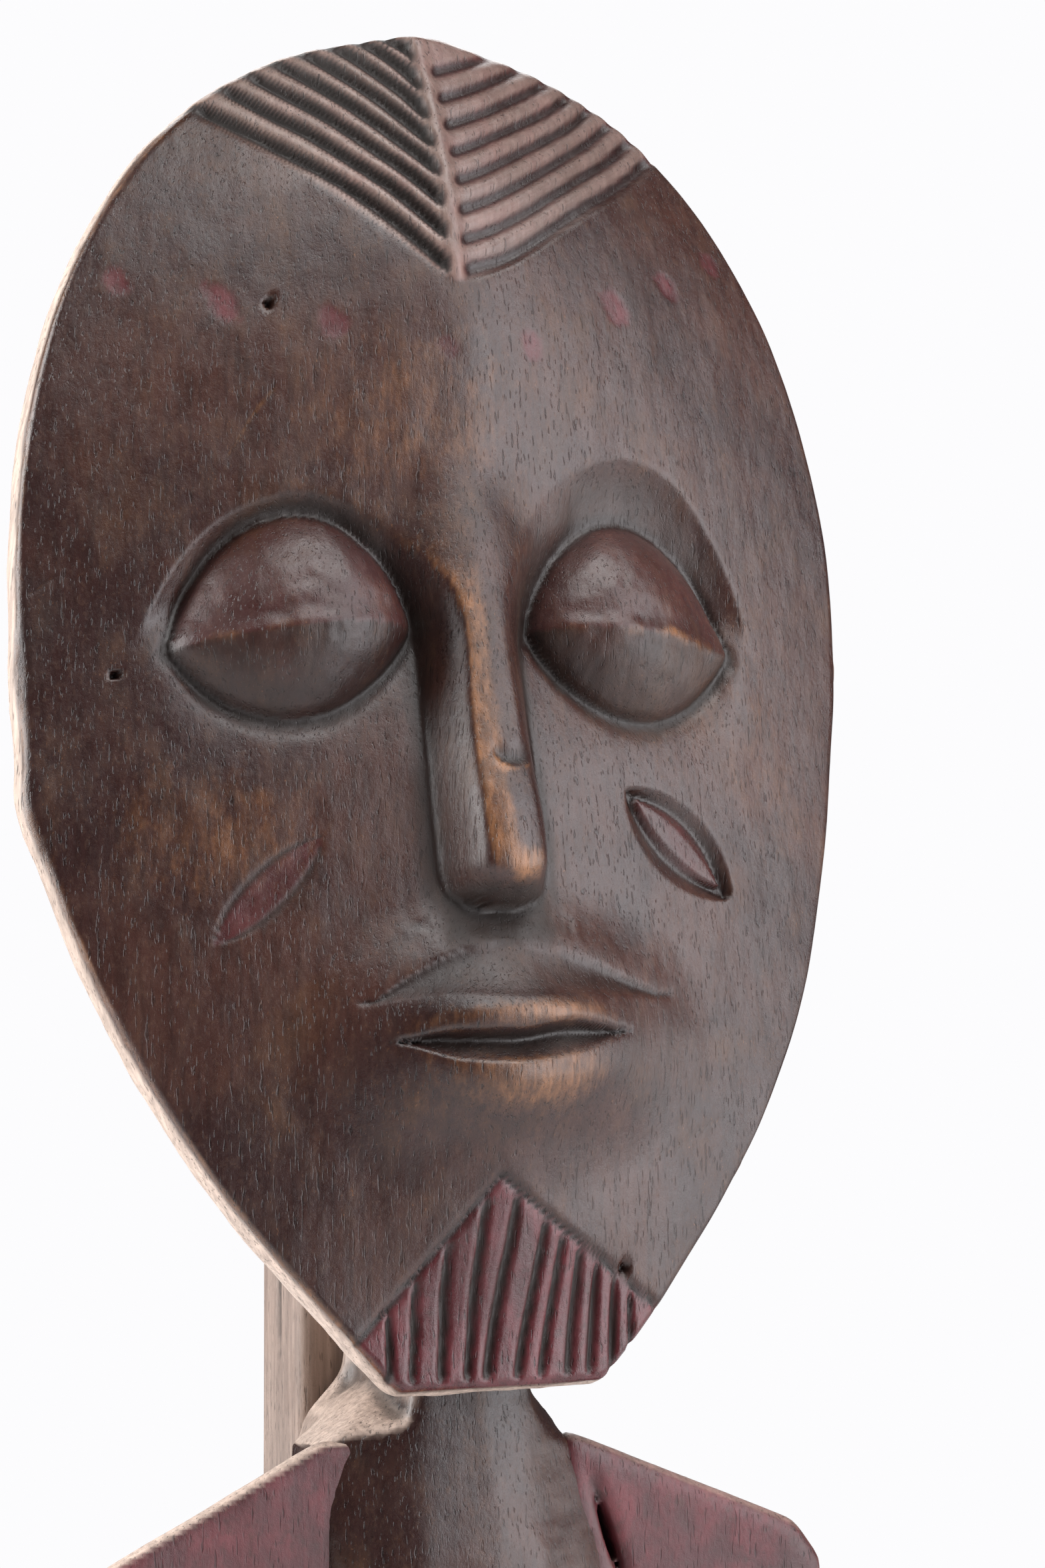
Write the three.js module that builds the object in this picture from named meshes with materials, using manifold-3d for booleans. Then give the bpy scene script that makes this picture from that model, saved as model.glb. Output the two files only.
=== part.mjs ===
// Carved ancestor figure: a standing wooden figure with a broad, flat, leaning face.
// Millimetres, +Z up. The figure faces -Y; "left" and "right" are as seen from the front.
// The origin is the centre of the plinth's underside.

import * as THREE from 'three';
import { mergeVertices } from 'three/addons/utils/BufferGeometryUtils.js';
import Module from 'manifold-3d';

const wasm = await Module();
wasm.setup();

// ---------------------------------------------------------------- driving dimensions

const gap = 0.3;                 // clearance between pieces that touch

const plinthWidth = 180;
const plinthDepth = 140;
const plinthHeight = 40;
const plinthCorner = 24;
const plinthBevel = 4;

const legLength = 150;           // plinth top to hip
const torsoLength = 310;         // hip to underside of chin
const legSpacing = 30;           // centre line to hip centre
const thighRadius = 21;
const ankleRadius = 16;
const footLength = 74;
const footWidth = 36;
const footHeight = 20;

const headLength = 265;          // chin to crown, along the face
const headWidth = 170;
const headLean = THREE.MathUtils.degToRad(11);
const rimThickness = 11;
const chinWidth = 41;
const widestLevel = 145;         // where the face is widest, above the chin
const keelHeight = 17;           // face's middle line above its rim
const crownHeight = 8;

const noseWidth = 20;
const noseTop = 150;
const noseBottom = 90;
const noseHeight = 10;
const eyeWidth = 45;
const eyeHeight = 36;
const eyeLevel = 140;
const eyeSpacing = 34;           // middle line to eye centre
const mouthWidth = 60;
const mouthLevel = 64;
const hairGrooves = 8;
const hairApexLevel = 210;
const beardApexLevel = 38;
const beardGrooves = 11;
const grooveDepth = 2;

const columnHalfWidth = 29;
const columnFrontHalf = 12.5;
const neckHalfWidth = 14;
const neckFrontY = -19;
const chinFrontY = -35;
const tongueDepth = 9;           // how far a shoulder board enters the column
const tangLength = 130;          // neck tang above the chin, behind the head
const hipHalfWidth = 47;
const hipFrontY = -22;
const bellyHalfWidth = 35;
const bellyFrontY = -42;

const boardFrontY = -16;
const boardThickness = 14;
const shoulderHalfWidth = 77;
const shoulderTopDrop = 12;      // chin to shoulder top beside the neck
const shoulderEndDrop = 36;      // chin to shoulder top at the arm's outer edge
const shoulderDepth = 78;        // height of the board where it enters the column
const armWidth = 26;
const armLength = 150;
const forearmRadius = 12;

const postWidth = 44;
const postThickness = 25;
const postFrontY = 21;
const postTopDrop = 45;          // crown to the post's top
const postMortiseDepth = 28;

const pegRadius = 5;
const shoulderPegRadius = 2.5;
const legPegRadius = 6;
const headPegReach = 7;          // into the head's back
const postPegReach = 24;         // into the column's back
const hipPegReach = 25;          // into the column, and a little more into the leg
const footPegReach = 24;         // into the plinth, and a little more into the leg
const pegSides = 16;

// ---------------------------------------------------------------- levels worked out from them

const hipZ = plinthHeight + legLength;
const chinZ = hipZ + torsoLength;
const crownZ = chinZ + headLength * Math.cos(headLean);
const waistZ = hipZ + torsoLength * 0.36;
const chestZ = hipZ + torsoLength * 0.66;
const columnBackY = postFrontY - gap;
const boardBackY = boardFrontY + boardThickness;
const boardMiddleY = boardFrontY + boardThickness / 2;
const postBackY = postFrontY + postThickness;
const shoulderBottomZ = chinZ - shoulderTopDrop - shoulderDepth;
const armBottomZ = chinZ - shoulderEndDrop - armLength;
const tongueEndX = columnHalfWidth - tongueDepth;
const forearmZ = armBottomZ + forearmRadius + 3;
const elbowX = shoulderHalfWidth - armWidth / 2;
const footX = legSpacing + 4;
const heelY = postFrontY - 5;
const shankY = -2;

// ---------------------------------------------------------------- materials

function wood(color, roughness) {
  return new THREE.MeshStandardMaterial({ color, roughness, metalness: 0 });
}

const darkWood = wood(0x3a2a22, 0.5);
const redWood = wood(0x4a2426, 0.45);
const limbWood = wood(0x34261f, 0.55);
const postWood = wood(0x6f5646, 0.7);
const baseWood = wood(0x3f3028, 0.7);
const pegWood = wood(0x8a6f57, 0.7);

// ---------------------------------------------------------------- solids

// Turns a closed three.js geometry into a solid that can be joined and cut.
function solid(geometry) {
  const bare = geometry.clone();
  bare.deleteAttribute('normal');
  bare.deleteAttribute('uv');
  const merged = mergeVertices(bare, 1e-4);
  const vertProperties = new Float32Array(merged.attributes.position.array);
  const triVerts = new Uint32Array(merged.index.array);
  return new wasm.Manifold(new wasm.Mesh({ numProp: 3, vertProperties, triVerts }));
}

function toGeometry(body) {
  const mesh = body.getMesh();
  const geometry = new THREE.BufferGeometry();
  geometry.setAttribute('position', new THREE.BufferAttribute(new Float32Array(mesh.vertProperties), 3));
  geometry.setIndex(Array.from(mesh.triVerts));
  return geometry;
}

// Joins rings of points into one closed skin. Every ring has the same number of points.
function loft(rings) {
  const count = rings[0].length;
  const points = rings.flat();
  const index = [];
  for (let ring = 0; ring < rings.length - 1; ring += 1) {
    for (let i = 0; i < count; i += 1) {
      const j = (i + 1) % count;
      const low = ring * count;
      const high = low + count;
      index.push(low + i, low + j, high + j, low + i, high + j, high + i);
    }
  }
  const last = (rings.length - 1) * count;
  for (let i = 1; i < count - 1; i += 1) {
    index.push(0, i + 1, i);
    index.push(last, last + i, last + i + 1);
  }
  const geometry = new THREE.BufferGeometry().setFromPoints(points);
  geometry.setIndex(signedVolume(points, index) < 0 ? index.slice().reverse() : index);
  return solid(geometry);
}

// Positive where the skin's faces point outwards.
function signedVolume(points, index) {
  let volume = 0;
  for (let i = 0; i < index.length; i += 3) {
    const [a, b, c] = [points[index[i]], points[index[i + 1]], points[index[i + 2]]];
    volume += a.dot(new THREE.Vector3().crossVectors(b, c)) / 6;
  }
  return volume;
}

function ellipsoid(x, y, z, rx, ry, rz, segments = 20) {
  const geometry = new THREE.SphereGeometry(1, segments, segments / 2);
  geometry.scale(rx, ry, rz);
  geometry.translate(x, y, z);
  return solid(geometry);
}

function block(xMin, xMax, yMin, yMax, zMin, zMax) {
  const geometry = new THREE.BoxGeometry(xMax - xMin, yMax - yMin, zMax - zMin);
  geometry.translate((xMin + xMax) / 2, (yMin + yMax) / 2, (zMin + zMax) / 2);
  return solid(geometry);
}

// A round dowel between two points.
function dowel(from, to, radius) {
  const along = new THREE.Vector3().subVectors(to, from);
  const geometry = new THREE.CylinderGeometry(radius, radius, along.length(), pegSides);
  const axis = along.clone().normalize();
  const turn = new THREE.Quaternion().setFromUnitVectors(new THREE.Vector3(0, 1, 0), axis);
  const middle = new THREE.Vector3().addVectors(from, to).multiplyScalar(0.5);
  geometry.applyMatrix4(new THREE.Matrix4().compose(middle, turn, new THREE.Vector3(1, 1, 1)));
  return solid(geometry);
}

// The hole that a dowel sits in: the dowel grown by the clearance all round.
function dowelHole(peg) {
  const along = new THREE.Vector3().subVectors(peg.to, peg.from).normalize().multiplyScalar(gap);
  const from = peg.from.clone().sub(along);
  const to = peg.to.clone().add(along);
  return dowel(from, to, peg.radius + gap);
}

function point(x, y, z) {
  return new THREE.Vector3(x, y, z);
}

// Extrudes an outline in the X-Z plane from yFront to yBack.
function boardSolid(outline, yFront, yBack) {
  const shape = new THREE.Shape(outline);
  const geometry = new THREE.ExtrudeGeometry(shape, { depth: yBack - yFront, bevelEnabled: false });
  geometry.rotateX(Math.PI / 2);
  geometry.translate(0, yBack, 0);
  return solid(geometry);
}

// ---------------------------------------------------------------- pegs

const pegs = [];

function addPeg(name, from, to, radius = pegRadius) {
  const peg = { name, from, to, radius };
  pegs.push(peg);
  return peg;
}

const sides = [
  { name: 'left', sign: -1 },
  { name: 'right', sign: 1 },
];

const headPegs = [0.45, 0.78].map((share, i) => {
  const level = tangLength * share;
  const backY = chinFrontY + rimThickness / Math.cos(headLean) + level * Math.tan(headLean);
  const from = point(0, backY - headPegReach, chinZ + level);
  return addPeg(`head_peg_${i + 1}`, from, point(0, postBackY, chinZ + level));
});
const postPegs = [0.21, 0.72].map((share, i) => {
  const level = hipZ + torsoLength * share;
  const from = point(0, columnBackY - postPegReach, level);
  return addPeg(`post_peg_${i + 1}`, from, point(0, postBackY, level));
});

function shoulderPegs(side) {
  const x = side.sign * (tongueEndX + tongueDepth / 2);
  return [0.32, 0.78].map((share, i) => {
    const level = chinZ - shoulderTopDrop - shoulderDepth * share;
    const from = point(x, boardMiddleY - 4, level);
    const to = point(x, columnBackY, level);
    return addPeg(`${side.name}_shoulder_peg_${i + 1}`, from, to, shoulderPegRadius);
  });
}

function elbowPeg(side) {
  const x = side.sign * elbowX;
  const from = point(x, boardFrontY - forearmRadius, forearmZ);
  return addPeg(`${side.name}_elbow_peg`, from, point(x, boardBackY, forearmZ));
}

function hipPeg(side) {
  const x = side.sign * legSpacing;
  const from = point(x, shankY, hipZ - hipPegReach - 5);
  return addPeg(`${side.name}_hip_peg`, from, point(x, shankY, hipZ + hipPegReach), legPegRadius);
}

function footPeg(side) {
  const x = side.sign * footX;
  const from = point(x, shankY, plinthHeight - footPegReach);
  const to = point(x, shankY, plinthHeight + footPegReach + 10);
  return addPeg(`${side.name}_foot_peg`, from, to, legPegRadius);
}

const sidePegs = sides.map((side) => ({
  shoulder: shoulderPegs(side),
  elbow: elbowPeg(side),
  hip: hipPeg(side),
  foot: footPeg(side),
}));

function cutPegs(body, list) {
  return list.reduce((rest, peg) => rest.subtract(dowelHole(peg)), body);
}

// ---------------------------------------------------------------- head

// Half the face's width at a level above the chin: a full oval above, a long taper to the chin below.
function halfWidth(level) {
  const half = headWidth / 2;
  if (level >= widestLevel) {
    const t = Math.min(1, (level - widestLevel) / (headLength - widestLevel));
    return half * Math.pow(1 - Math.pow(t, 2.15), 1 / 2.15);
  }
  const t = (widestLevel - level) / widestLevel;
  return half - (half - chinWidth / 2) * Math.pow(t, 2.22);
}

function keel(level) {
  const rise = Math.min(1, level / (0.3 * headLength));
  const fall = Math.max(0, (level / headLength - 0.72) / 0.28);
  return keelHeight * rise - (keelHeight - crownHeight) * Math.pow(fall, 1.6);
}

// Height of the plain face above its rim, at a place on the face.
function faceHeight(x, level) {
  const half = Math.max(halfWidth(level), 1);
  const share = Math.min(1, Math.abs(x) / half);
  return keel(level) * (1 - Math.pow(share, 1.25));
}

// Distance from the face's middle to its outline, in a direction in the face's plane.
function outlineReach(angle, middle) {
  let near = 0;
  let far = headLength;
  for (let step = 0; step < 40; step += 1) {
    const reach = (near + far) / 2;
    const x = Math.abs(Math.cos(angle)) * reach;
    const level = middle + Math.sin(angle) * reach;
    const inside = level >= 0 && level <= headLength && x <= halfWidth(level);
    near = inside ? reach : near;
    far = inside ? far : reach;
  }
  return near;
}

// The plain face and its flat back, in the head's own frame: X across, Z up the face, -Y out of it.
function headBlank() {
  const rings = 10;
  const spokes = 56;
  const middle = headLength * 0.48;
  const layers = [];
  for (let ring = 0; ring <= rings; ring += 1) {
    const share = Math.max(0.02, ring / rings);
    const layer = [];
    for (let spoke = 0; spoke < spokes; spoke += 1) {
      const angle = (spoke / spokes) * Math.PI * 2;
      const reach = outlineReach(angle, middle) * share;
      const x = Math.cos(angle) * reach;
      const level = middle + Math.sin(angle) * reach;
      layer.push(point(x, ring === rings ? 0 : -faceHeight(x, level), level));
    }
    layers.push(layer);
  }
  const rim = layers[rings];
  layers.push(rim.map((p) => point(p.x, rimThickness, p.z)));
  return loft(layers);
}

function nose() {
  const ring = (level, half, height) => {
    const base = -faceHeight(0, level);
    const slope = half * 0.5;
    return [
      point(-half, base + 9, level),
      point(-half, base + 2, level),
      point(-slope, base - height, level),
      point(slope, base - height, level),
      point(half, base + 2, level),
      point(half, base + 9, level),
    ];
  };
  const half = noseWidth / 2;
  return loft([
    ring(noseTop, half * 0.5, 1),
    ring((noseTop + noseBottom) / 2, half * 0.85, noseHeight * 0.75),
    ring(noseBottom + 4, half, noseHeight),
    ring(noseBottom, half * 0.8, noseHeight * 0.6),
  ]);
}

function eye(sign) {
  const x = sign * eyeSpacing;
  const y = -faceHeight(x, eyeLevel) + 2;
  return ellipsoid(x, y, eyeLevel, eyeWidth / 2, 9, eyeHeight / 2);
}

function eyeSocket(sign) {
  const x = sign * eyeSpacing;
  const y = -faceHeight(x, eyeLevel) - 4;
  return ellipsoid(x, y, eyeLevel + 4, eyeWidth / 2 + 6, 9, eyeHeight / 2 + 8);
}

function lip(level, height, thickness) {
  return ellipsoid(0, -faceHeight(0, level) - 1, level, mouthWidth / 2, height, thickness, 16);
}

// A V-shaped groove between two places on the face.
function groove(x1, level1, x2, level2, width, depth) {
  const along = new THREE.Vector2(x2 - x1, level2 - level1).normalize();
  const across = new THREE.Vector2(-along.y, along.x).multiplyScalar(width / 2);
  const ring = (x, level) => {
    const base = -faceHeight(x, level);
    return [
      point(x, base + depth, level),
      point(x - across.x * 2, base - depth, level - across.y * 2),
      point(x + across.x * 2, base - depth, level + across.y * 2),
    ];
  };
  return loft([ring(x1, level1), ring(x2, level2)]);
}

function hairCuts() {
  const cuts = [];
  const pitch = (headLength - hairApexLevel) / (hairGrooves + 1);
  for (let i = 0; i < hairGrooves; i += 1) {
    const level = hairApexLevel + pitch * (i + 0.5);
    for (const side of sides) {
      const innerX = side.sign * 3;
      const run = halfWidth(level + 12) * 0.8;
      const end = Math.min(level + run * 0.72, headLength - 5);
      const reach = Math.min((end - level) / 0.72, halfWidth(end) - 3);
      if (reach > 8) {
        cuts.push(groove(innerX, level, side.sign * reach, level + reach * 0.72, 2.4, grooveDepth));
      }
    }
  }
  return cuts;
}

function beardCuts() {
  const cuts = [];
  const pitch = (chinWidth + 12) / (beardGrooves + 1);
  for (let i = 1; i <= beardGrooves; i += 1) {
    const x = -(chinWidth + 12) / 2 + pitch * i;
    const top = beardApexLevel - 3 - Math.abs(x) * 0.85;
    cuts.push(groove(x - 1, 2, x + 1, top, 1.8, grooveDepth));
  }
  for (const side of sides) {
    cuts.push(groove(0, beardApexLevel, side.sign * 30, beardApexLevel - 28, 1.4, grooveDepth * 0.8));
  }
  return cuts;
}

function cheekScars() {
  return sides.map((side) => groove(side.sign * 34, 101, side.sign * 50, 86, 4, grooveDepth));
}

// Moves a solid from the head's own frame to its place on the neck.
function placeHead(body) {
  const degrees = THREE.MathUtils.radToDeg(-headLean);
  return body.rotate([degrees, 0, 0]).translate([0, chinFrontY, chinZ]);
}

function head() {
  let body = headBlank();
  for (const side of sides) {
    body = body.subtract(eyeSocket(side.sign)).add(eye(side.sign));
  }
  body = body.add(nose());
  body = body.add(ellipsoid(0, -faceHeight(0, mouthLevel) + 6, mouthLevel, 38, 12, 21));
  body = body.add(lip(mouthLevel + 8, 9, 6)).add(lip(mouthLevel - 7, 8, 5));
  for (const cut of [...hairCuts(), ...beardCuts(), ...cheekScars()]) {
    body = body.subtract(cut);
  }
  return cutPegs(placeHead(body), headPegs);
}

// Everything in front of the head's back, with clearance: what the neck tang is cut back to.
function spaceOfHead() {
  const room = block(-headWidth, headWidth, -300, rimThickness + gap, -4, headLength + 50);
  return placeHead(room);
}

// ---------------------------------------------------------------- column and post

// One ring of the column: a flat front, sloping flanks and straight sides.
function columnRing(z, frontHalf, sideHalf, frontY, flankY) {
  return [
    point(-frontHalf, frontY, z),
    point(frontHalf, frontY, z),
    point(sideHalf, flankY, z),
    point(sideHalf, columnBackY, z),
    point(-sideHalf, columnBackY, z),
    point(-sideHalf, flankY, z),
  ];
}

function shoulderBoardOutline(sign, innerX, grow) {
  const top = chinZ - shoulderTopDrop + grow;
  const end = chinZ - shoulderEndDrop + grow;
  const low = shoulderBottomZ - grow;
  const armInner = shoulderHalfWidth - armWidth;
  const points = [
    new THREE.Vector2(innerX, top),
    new THREE.Vector2(shoulderHalfWidth - 6, end + 2),
    new THREE.Vector2(shoulderHalfWidth, end - 6),
    new THREE.Vector2(shoulderHalfWidth + 2, armBottomZ + 8),
    new THREE.Vector2(shoulderHalfWidth - 8, armBottomZ),
    new THREE.Vector2(armInner, armBottomZ + 2),
    new THREE.Vector2(armInner - 3, low - 12),
    new THREE.Vector2(armInner - 8, low - 3),
    new THREE.Vector2(innerX, low),
  ];
  return points.map((p) => new THREE.Vector2(p.x * sign, p.y));
}

function boardSlot(sign) {
  const outline = shoulderBoardOutline(sign, tongueEndX - gap, gap);
  return boardSolid(outline, boardFrontY - gap, boardBackY + gap);
}

// The column from hips to neck tang, grown all round by a clearance.
function columnRings(clearance) {
  const ring = (z, frontHalf, sideHalf, frontY, flankY) => {
    return columnRing(z, frontHalf + clearance, sideHalf + clearance, frontY - clearance, flankY - clearance);
  };
  return [
    ring(hipZ + gap, hipHalfWidth * 0.55, hipHalfWidth, hipFrontY, hipFrontY + 14),
    ring(hipZ + torsoLength * 0.08, hipHalfWidth * 0.6, hipHalfWidth - 2, hipFrontY - 8, hipFrontY + 16),
    ring(waistZ, bellyHalfWidth * 0.7, bellyHalfWidth, bellyFrontY, hipFrontY + 14),
    ring(chestZ, columnFrontHalf + 5, columnHalfWidth, bellyFrontY + 12, boardFrontY + 6),
    ring(chinZ - shoulderEndDrop, columnFrontHalf, columnHalfWidth, neckFrontY - 6, -14),
    ring(chinZ - shoulderTopDrop, columnFrontHalf, columnHalfWidth * 0.75, neckFrontY - 1, -12),
    ring(chinZ - 4, columnFrontHalf, neckHalfWidth, neckFrontY, neckFrontY + 4),
    ring(chinZ + tangLength, columnFrontHalf, neckHalfWidth, neckFrontY, neckFrontY + 4),
  ];
}

function torsoColumn() {
  let body = loft(columnRings(0)).subtract(spaceOfHead());
  for (const side of sides) {
    body = body.subtract(boardSlot(side.sign));
  }
  const ownPegs = sidePegs.flatMap((set) => [...set.shoulder, set.hip]);
  return cutPegs(body, [...ownPegs, ...headPegs, ...postPegs]);
}

function backPost() {
  const half = postWidth / 2;
  const foot = plinthHeight - postMortiseDepth;
  const body = block(-half, half, postFrontY, postBackY, foot, crownZ - postTopDrop);
  return cutPegs(body.subtract(spaceOfHead()), [...headPegs, ...postPegs]);
}

// ---------------------------------------------------------------- arms

function shoulderArm(side, set) {
  const outline = shoulderBoardOutline(side.sign, tongueEndX, 0);
  const body = boardSolid(outline, boardFrontY, boardBackY);
  return cutPegs(body, [...set.shoulder, set.elbow]);
}

// A limb along a curve, with a round section whose size changes along it.
function limb(path, radii, flatten, steps, faces) {
  const curve = new THREE.CatmullRomCurve3(path);
  const rings = [];
  for (let step = 0; step <= steps; step += 1) {
    const t = step / steps;
    const place = curve.getPoint(t);
    const forward = curve.getTangent(t);
    const across = new THREE.Vector3().crossVectors(forward, point(0, -1, 0)).normalize();
    const out = new THREE.Vector3().crossVectors(across, forward).normalize();
    const slot = t * (radii.length - 1);
    const low = Math.min(radii.length - 2, Math.floor(slot));
    const radius = THREE.MathUtils.lerp(radii[low], radii[low + 1], slot - low);
    const ring = [];
    for (let face = 0; face < faces; face += 1) {
      const angle = (face / faces) * Math.PI * 2;
      const offset = across.clone().multiplyScalar(Math.cos(angle) * radius);
      offset.addScaledVector(out, Math.sin(angle) * radius * flatten);
      ring.push(place.clone().add(offset));
    }
    rings.push(ring);
  }
  return rings;
}

function forearm(side, set) {
  const y = boardFrontY - gap - forearmRadius * 0.8;
  const path = [
    point(side.sign * (elbowX + forearmRadius * 0.9), y, forearmZ),
    point(side.sign * elbowX * 0.72, y - 7, forearmZ + 4),
    point(side.sign * elbowX * 0.42, y - 20, forearmZ + 8),
    point(side.sign * 8, y - 27, forearmZ + 14),
  ];
  const radii = [forearmRadius, forearmRadius * 0.9, forearmRadius * 0.8, forearmRadius * 1.05];
  const body = loft(limb(path, radii, 0.75, 12, 12));
  const behind = block(-headWidth, headWidth, boardFrontY - gap, postBackY, 0, chinZ);
  return cutPegs(body.subtract(loft(columnRings(gap))).subtract(behind), [set.elbow]);
}

// ---------------------------------------------------------------- legs and plinth

function footOutline(side) {
  const x = side.sign * footX;
  const half = footWidth / 2;
  const heel = heelY;
  const toe = heel - footLength;
  const shape = new THREE.Shape();
  shape.moveTo(x - half * 0.7, heel);
  shape.quadraticCurveTo(x - half, heel - 14, x - half * 0.8, heel - 30);
  shape.lineTo(x - half, toe + 12);
  shape.quadraticCurveTo(x - half, toe, x, toe - 2);
  shape.quadraticCurveTo(x + half, toe, x + half, toe + 12);
  shape.lineTo(x + half * 0.8, heel - 30);
  shape.quadraticCurveTo(x + half, heel - 14, x + half * 0.7, heel);
  shape.closePath();
  return shape;
}

function leg(side, set) {
  const options = { depth: footHeight, bevelEnabled: false, curveSegments: 5 };
  const footShape = new THREE.ExtrudeGeometry(footOutline(side), options);
  footShape.translate(0, 0, plinthHeight + gap);
  const x = side.sign * legSpacing;
  const path = [
    point(side.sign * footX, shankY, plinthHeight),
    point(side.sign * (footX + 1), shankY + 2, plinthHeight + legLength * 0.3),
    point(side.sign * (footX - 1), shankY - 16, plinthHeight + legLength * 0.62),
    point(x, shankY, hipZ + 8),
  ];
  const radii = [ankleRadius, (ankleRadius + thighRadius) / 2, thighRadius, thighRadius];
  const body = solid(footShape).add(loft(limb(path, radii, 1, 12, 14)));
  const wide = plinthWidth;
  const inner = side.sign * gap;
  const away = -side.sign * wide;
  const trims = [
    block(-wide, wide, -wide, wide, hipZ, hipZ + wide),
    block(-wide, wide, -wide, wide, 0, plinthHeight + gap),
    block(-wide, wide, columnBackY, wide, 0, hipZ + wide),
    block(Math.min(inner, away), Math.max(inner, away), -wide, wide, 0, hipZ + wide),
  ];
  return cutPegs(trims.reduce((rest, trim) => rest.subtract(trim), body), [set.hip, set.foot]);
}

function plinth() {
  const halfX = plinthWidth / 2 - plinthBevel;
  const halfY = plinthDepth / 2 - plinthBevel;
  const round = plinthCorner - plinthBevel;
  const shape = new THREE.Shape();
  shape.moveTo(-halfX + round, -halfY);
  shape.lineTo(halfX - round, -halfY);
  shape.absarc(halfX - round, -halfY + round, round, -Math.PI / 2, 0, false);
  shape.absarc(halfX - round, halfY - round, round, 0, Math.PI / 2, false);
  shape.absarc(-halfX + round, halfY - round, round, Math.PI / 2, Math.PI, false);
  shape.absarc(-halfX + round, -halfY + round, round, Math.PI, Math.PI * 1.5, false);
  const options = {
    depth: plinthHeight - plinthBevel * 2,
    bevelSize: plinthBevel,
    bevelThickness: plinthBevel,
    bevelSegments: 2,
    curveSegments: 6,
  };
  const geometry = new THREE.ExtrudeGeometry(shape, options);
  geometry.translate(0, 0, plinthBevel);
  const half = postWidth / 2 + gap;
  const mortiseFloor = plinthHeight - postMortiseDepth - gap;
  const mortise = block(-half, half, postFrontY - gap, postBackY + gap, mortiseFloor, plinthHeight + 10);
  return cutPegs(solid(geometry).subtract(mortise), sidePegs.map((set) => set.foot));
}

// ---------------------------------------------------------------- assembly

const figure = new THREE.Group();

function place(name, body, material) {
  const mesh = new THREE.Mesh(toGeometry(body), material);
  mesh.name = name;
  figure.add(mesh);
}

place('plinth', plinth(), baseWood);
place('torso_column', torsoColumn(), darkWood);
place('head', head(), darkWood);
place('back_post', backPost(), postWood);
sides.forEach((side, i) => {
  place(`${side.name}_shoulder_arm`, shoulderArm(side, sidePegs[i]), redWood);
  place(`${side.name}_forearm`, forearm(side, sidePegs[i]), redWood);
  place(`${side.name}_leg`, leg(side, sidePegs[i]), limbWood);
});
for (const peg of pegs) {
  place(peg.name, dowel(peg.from, peg.to, peg.radius), pegWood);
}

export default figure;
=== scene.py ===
from functools import reduce
from math import cos, hypot, pi, radians, sin

import bpy
import numpy as np
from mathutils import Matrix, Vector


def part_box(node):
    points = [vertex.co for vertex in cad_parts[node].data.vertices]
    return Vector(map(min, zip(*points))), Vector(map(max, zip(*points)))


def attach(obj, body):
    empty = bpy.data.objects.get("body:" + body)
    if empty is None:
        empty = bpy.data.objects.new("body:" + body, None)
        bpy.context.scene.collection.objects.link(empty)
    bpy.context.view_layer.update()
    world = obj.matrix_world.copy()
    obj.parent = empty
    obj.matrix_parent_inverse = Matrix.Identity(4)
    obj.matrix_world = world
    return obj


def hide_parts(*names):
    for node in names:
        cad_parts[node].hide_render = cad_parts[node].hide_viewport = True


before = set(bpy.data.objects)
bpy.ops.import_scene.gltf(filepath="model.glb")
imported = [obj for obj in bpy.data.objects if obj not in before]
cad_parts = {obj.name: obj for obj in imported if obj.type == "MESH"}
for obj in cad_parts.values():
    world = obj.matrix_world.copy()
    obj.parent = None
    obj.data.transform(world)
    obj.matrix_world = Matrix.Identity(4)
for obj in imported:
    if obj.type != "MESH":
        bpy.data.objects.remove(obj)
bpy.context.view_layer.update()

import openvdb
from mathutils import Vector

scene = bpy.context.scene

# The figure faces -Y. Lengths are in millimetres until a mesh is made, then in metres.
MM = 0.001


# ---- measures from the frame

def box_mm(node):
    """Lowest and highest corner of a CAD node, in millimetres."""
    low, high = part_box(node)
    return np.array(low) / MM, np.array(high) / MM


HEAD_LEAN = radians(11)
RIM = 11.0  # thickness of the face board at its edge
head_low, head_high = box_mm("head")
CHIN_Z = head_low[2] + RIM * sin(HEAD_LEAN)
HEAD_LENGTH = (head_high[2] - CHIN_Z) / cos(HEAD_LEAN)
CHIN_Y = head_high[1] - HEAD_LENGTH * sin(HEAD_LEAN) - RIM * cos(HEAD_LEAN)
HALF_WIDTH = head_high[0]
WIDEST = 145.0  # level of the widest part above the chin
CHIN_HALF = 20.5
BACK_RAW = 0.62  # how bare of stain the back of the head is


# ---- noise and shaping functions

def hashed(cells, seed):
    """A number from 0 to 1 for each lattice point, by mixing its bits with large odd numbers."""
    ix, iy, iz = cells.astype(np.uint32).T
    with np.errstate(over="ignore"):
        h = ix * np.uint32(374761393) + iy * np.uint32(668265263) + iz * np.uint32(2246822519)
        h = h + np.uint32((seed * 3266489917) & 0xFFFFFFFF)
        h = (h ^ (h >> np.uint32(15))) * np.uint32(2246822507)
        h = (h ^ (h >> np.uint32(13))) * np.uint32(3266489909)
        h = h ^ (h >> np.uint32(16))
    return h.astype(np.float64) / 0xFFFFFFFF


def noise(points, size, seed):
    """Smooth noise from -1 to 1, in lumps as wide as size (one length, or one for each axis)."""
    p = points / size
    cell = np.floor(p).astype(np.int64)
    f = p - cell
    f = f * f * f * (f * (f * 6 - 15) + 10)
    total = 0.0
    for corner in np.ndindex(2, 2, 2):
        wx, wy, wz = np.where(corner, f, 1 - f).T
        total += wx * wy * wz * hashed(cell + corner, seed)
    return total * 2 - 1


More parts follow.
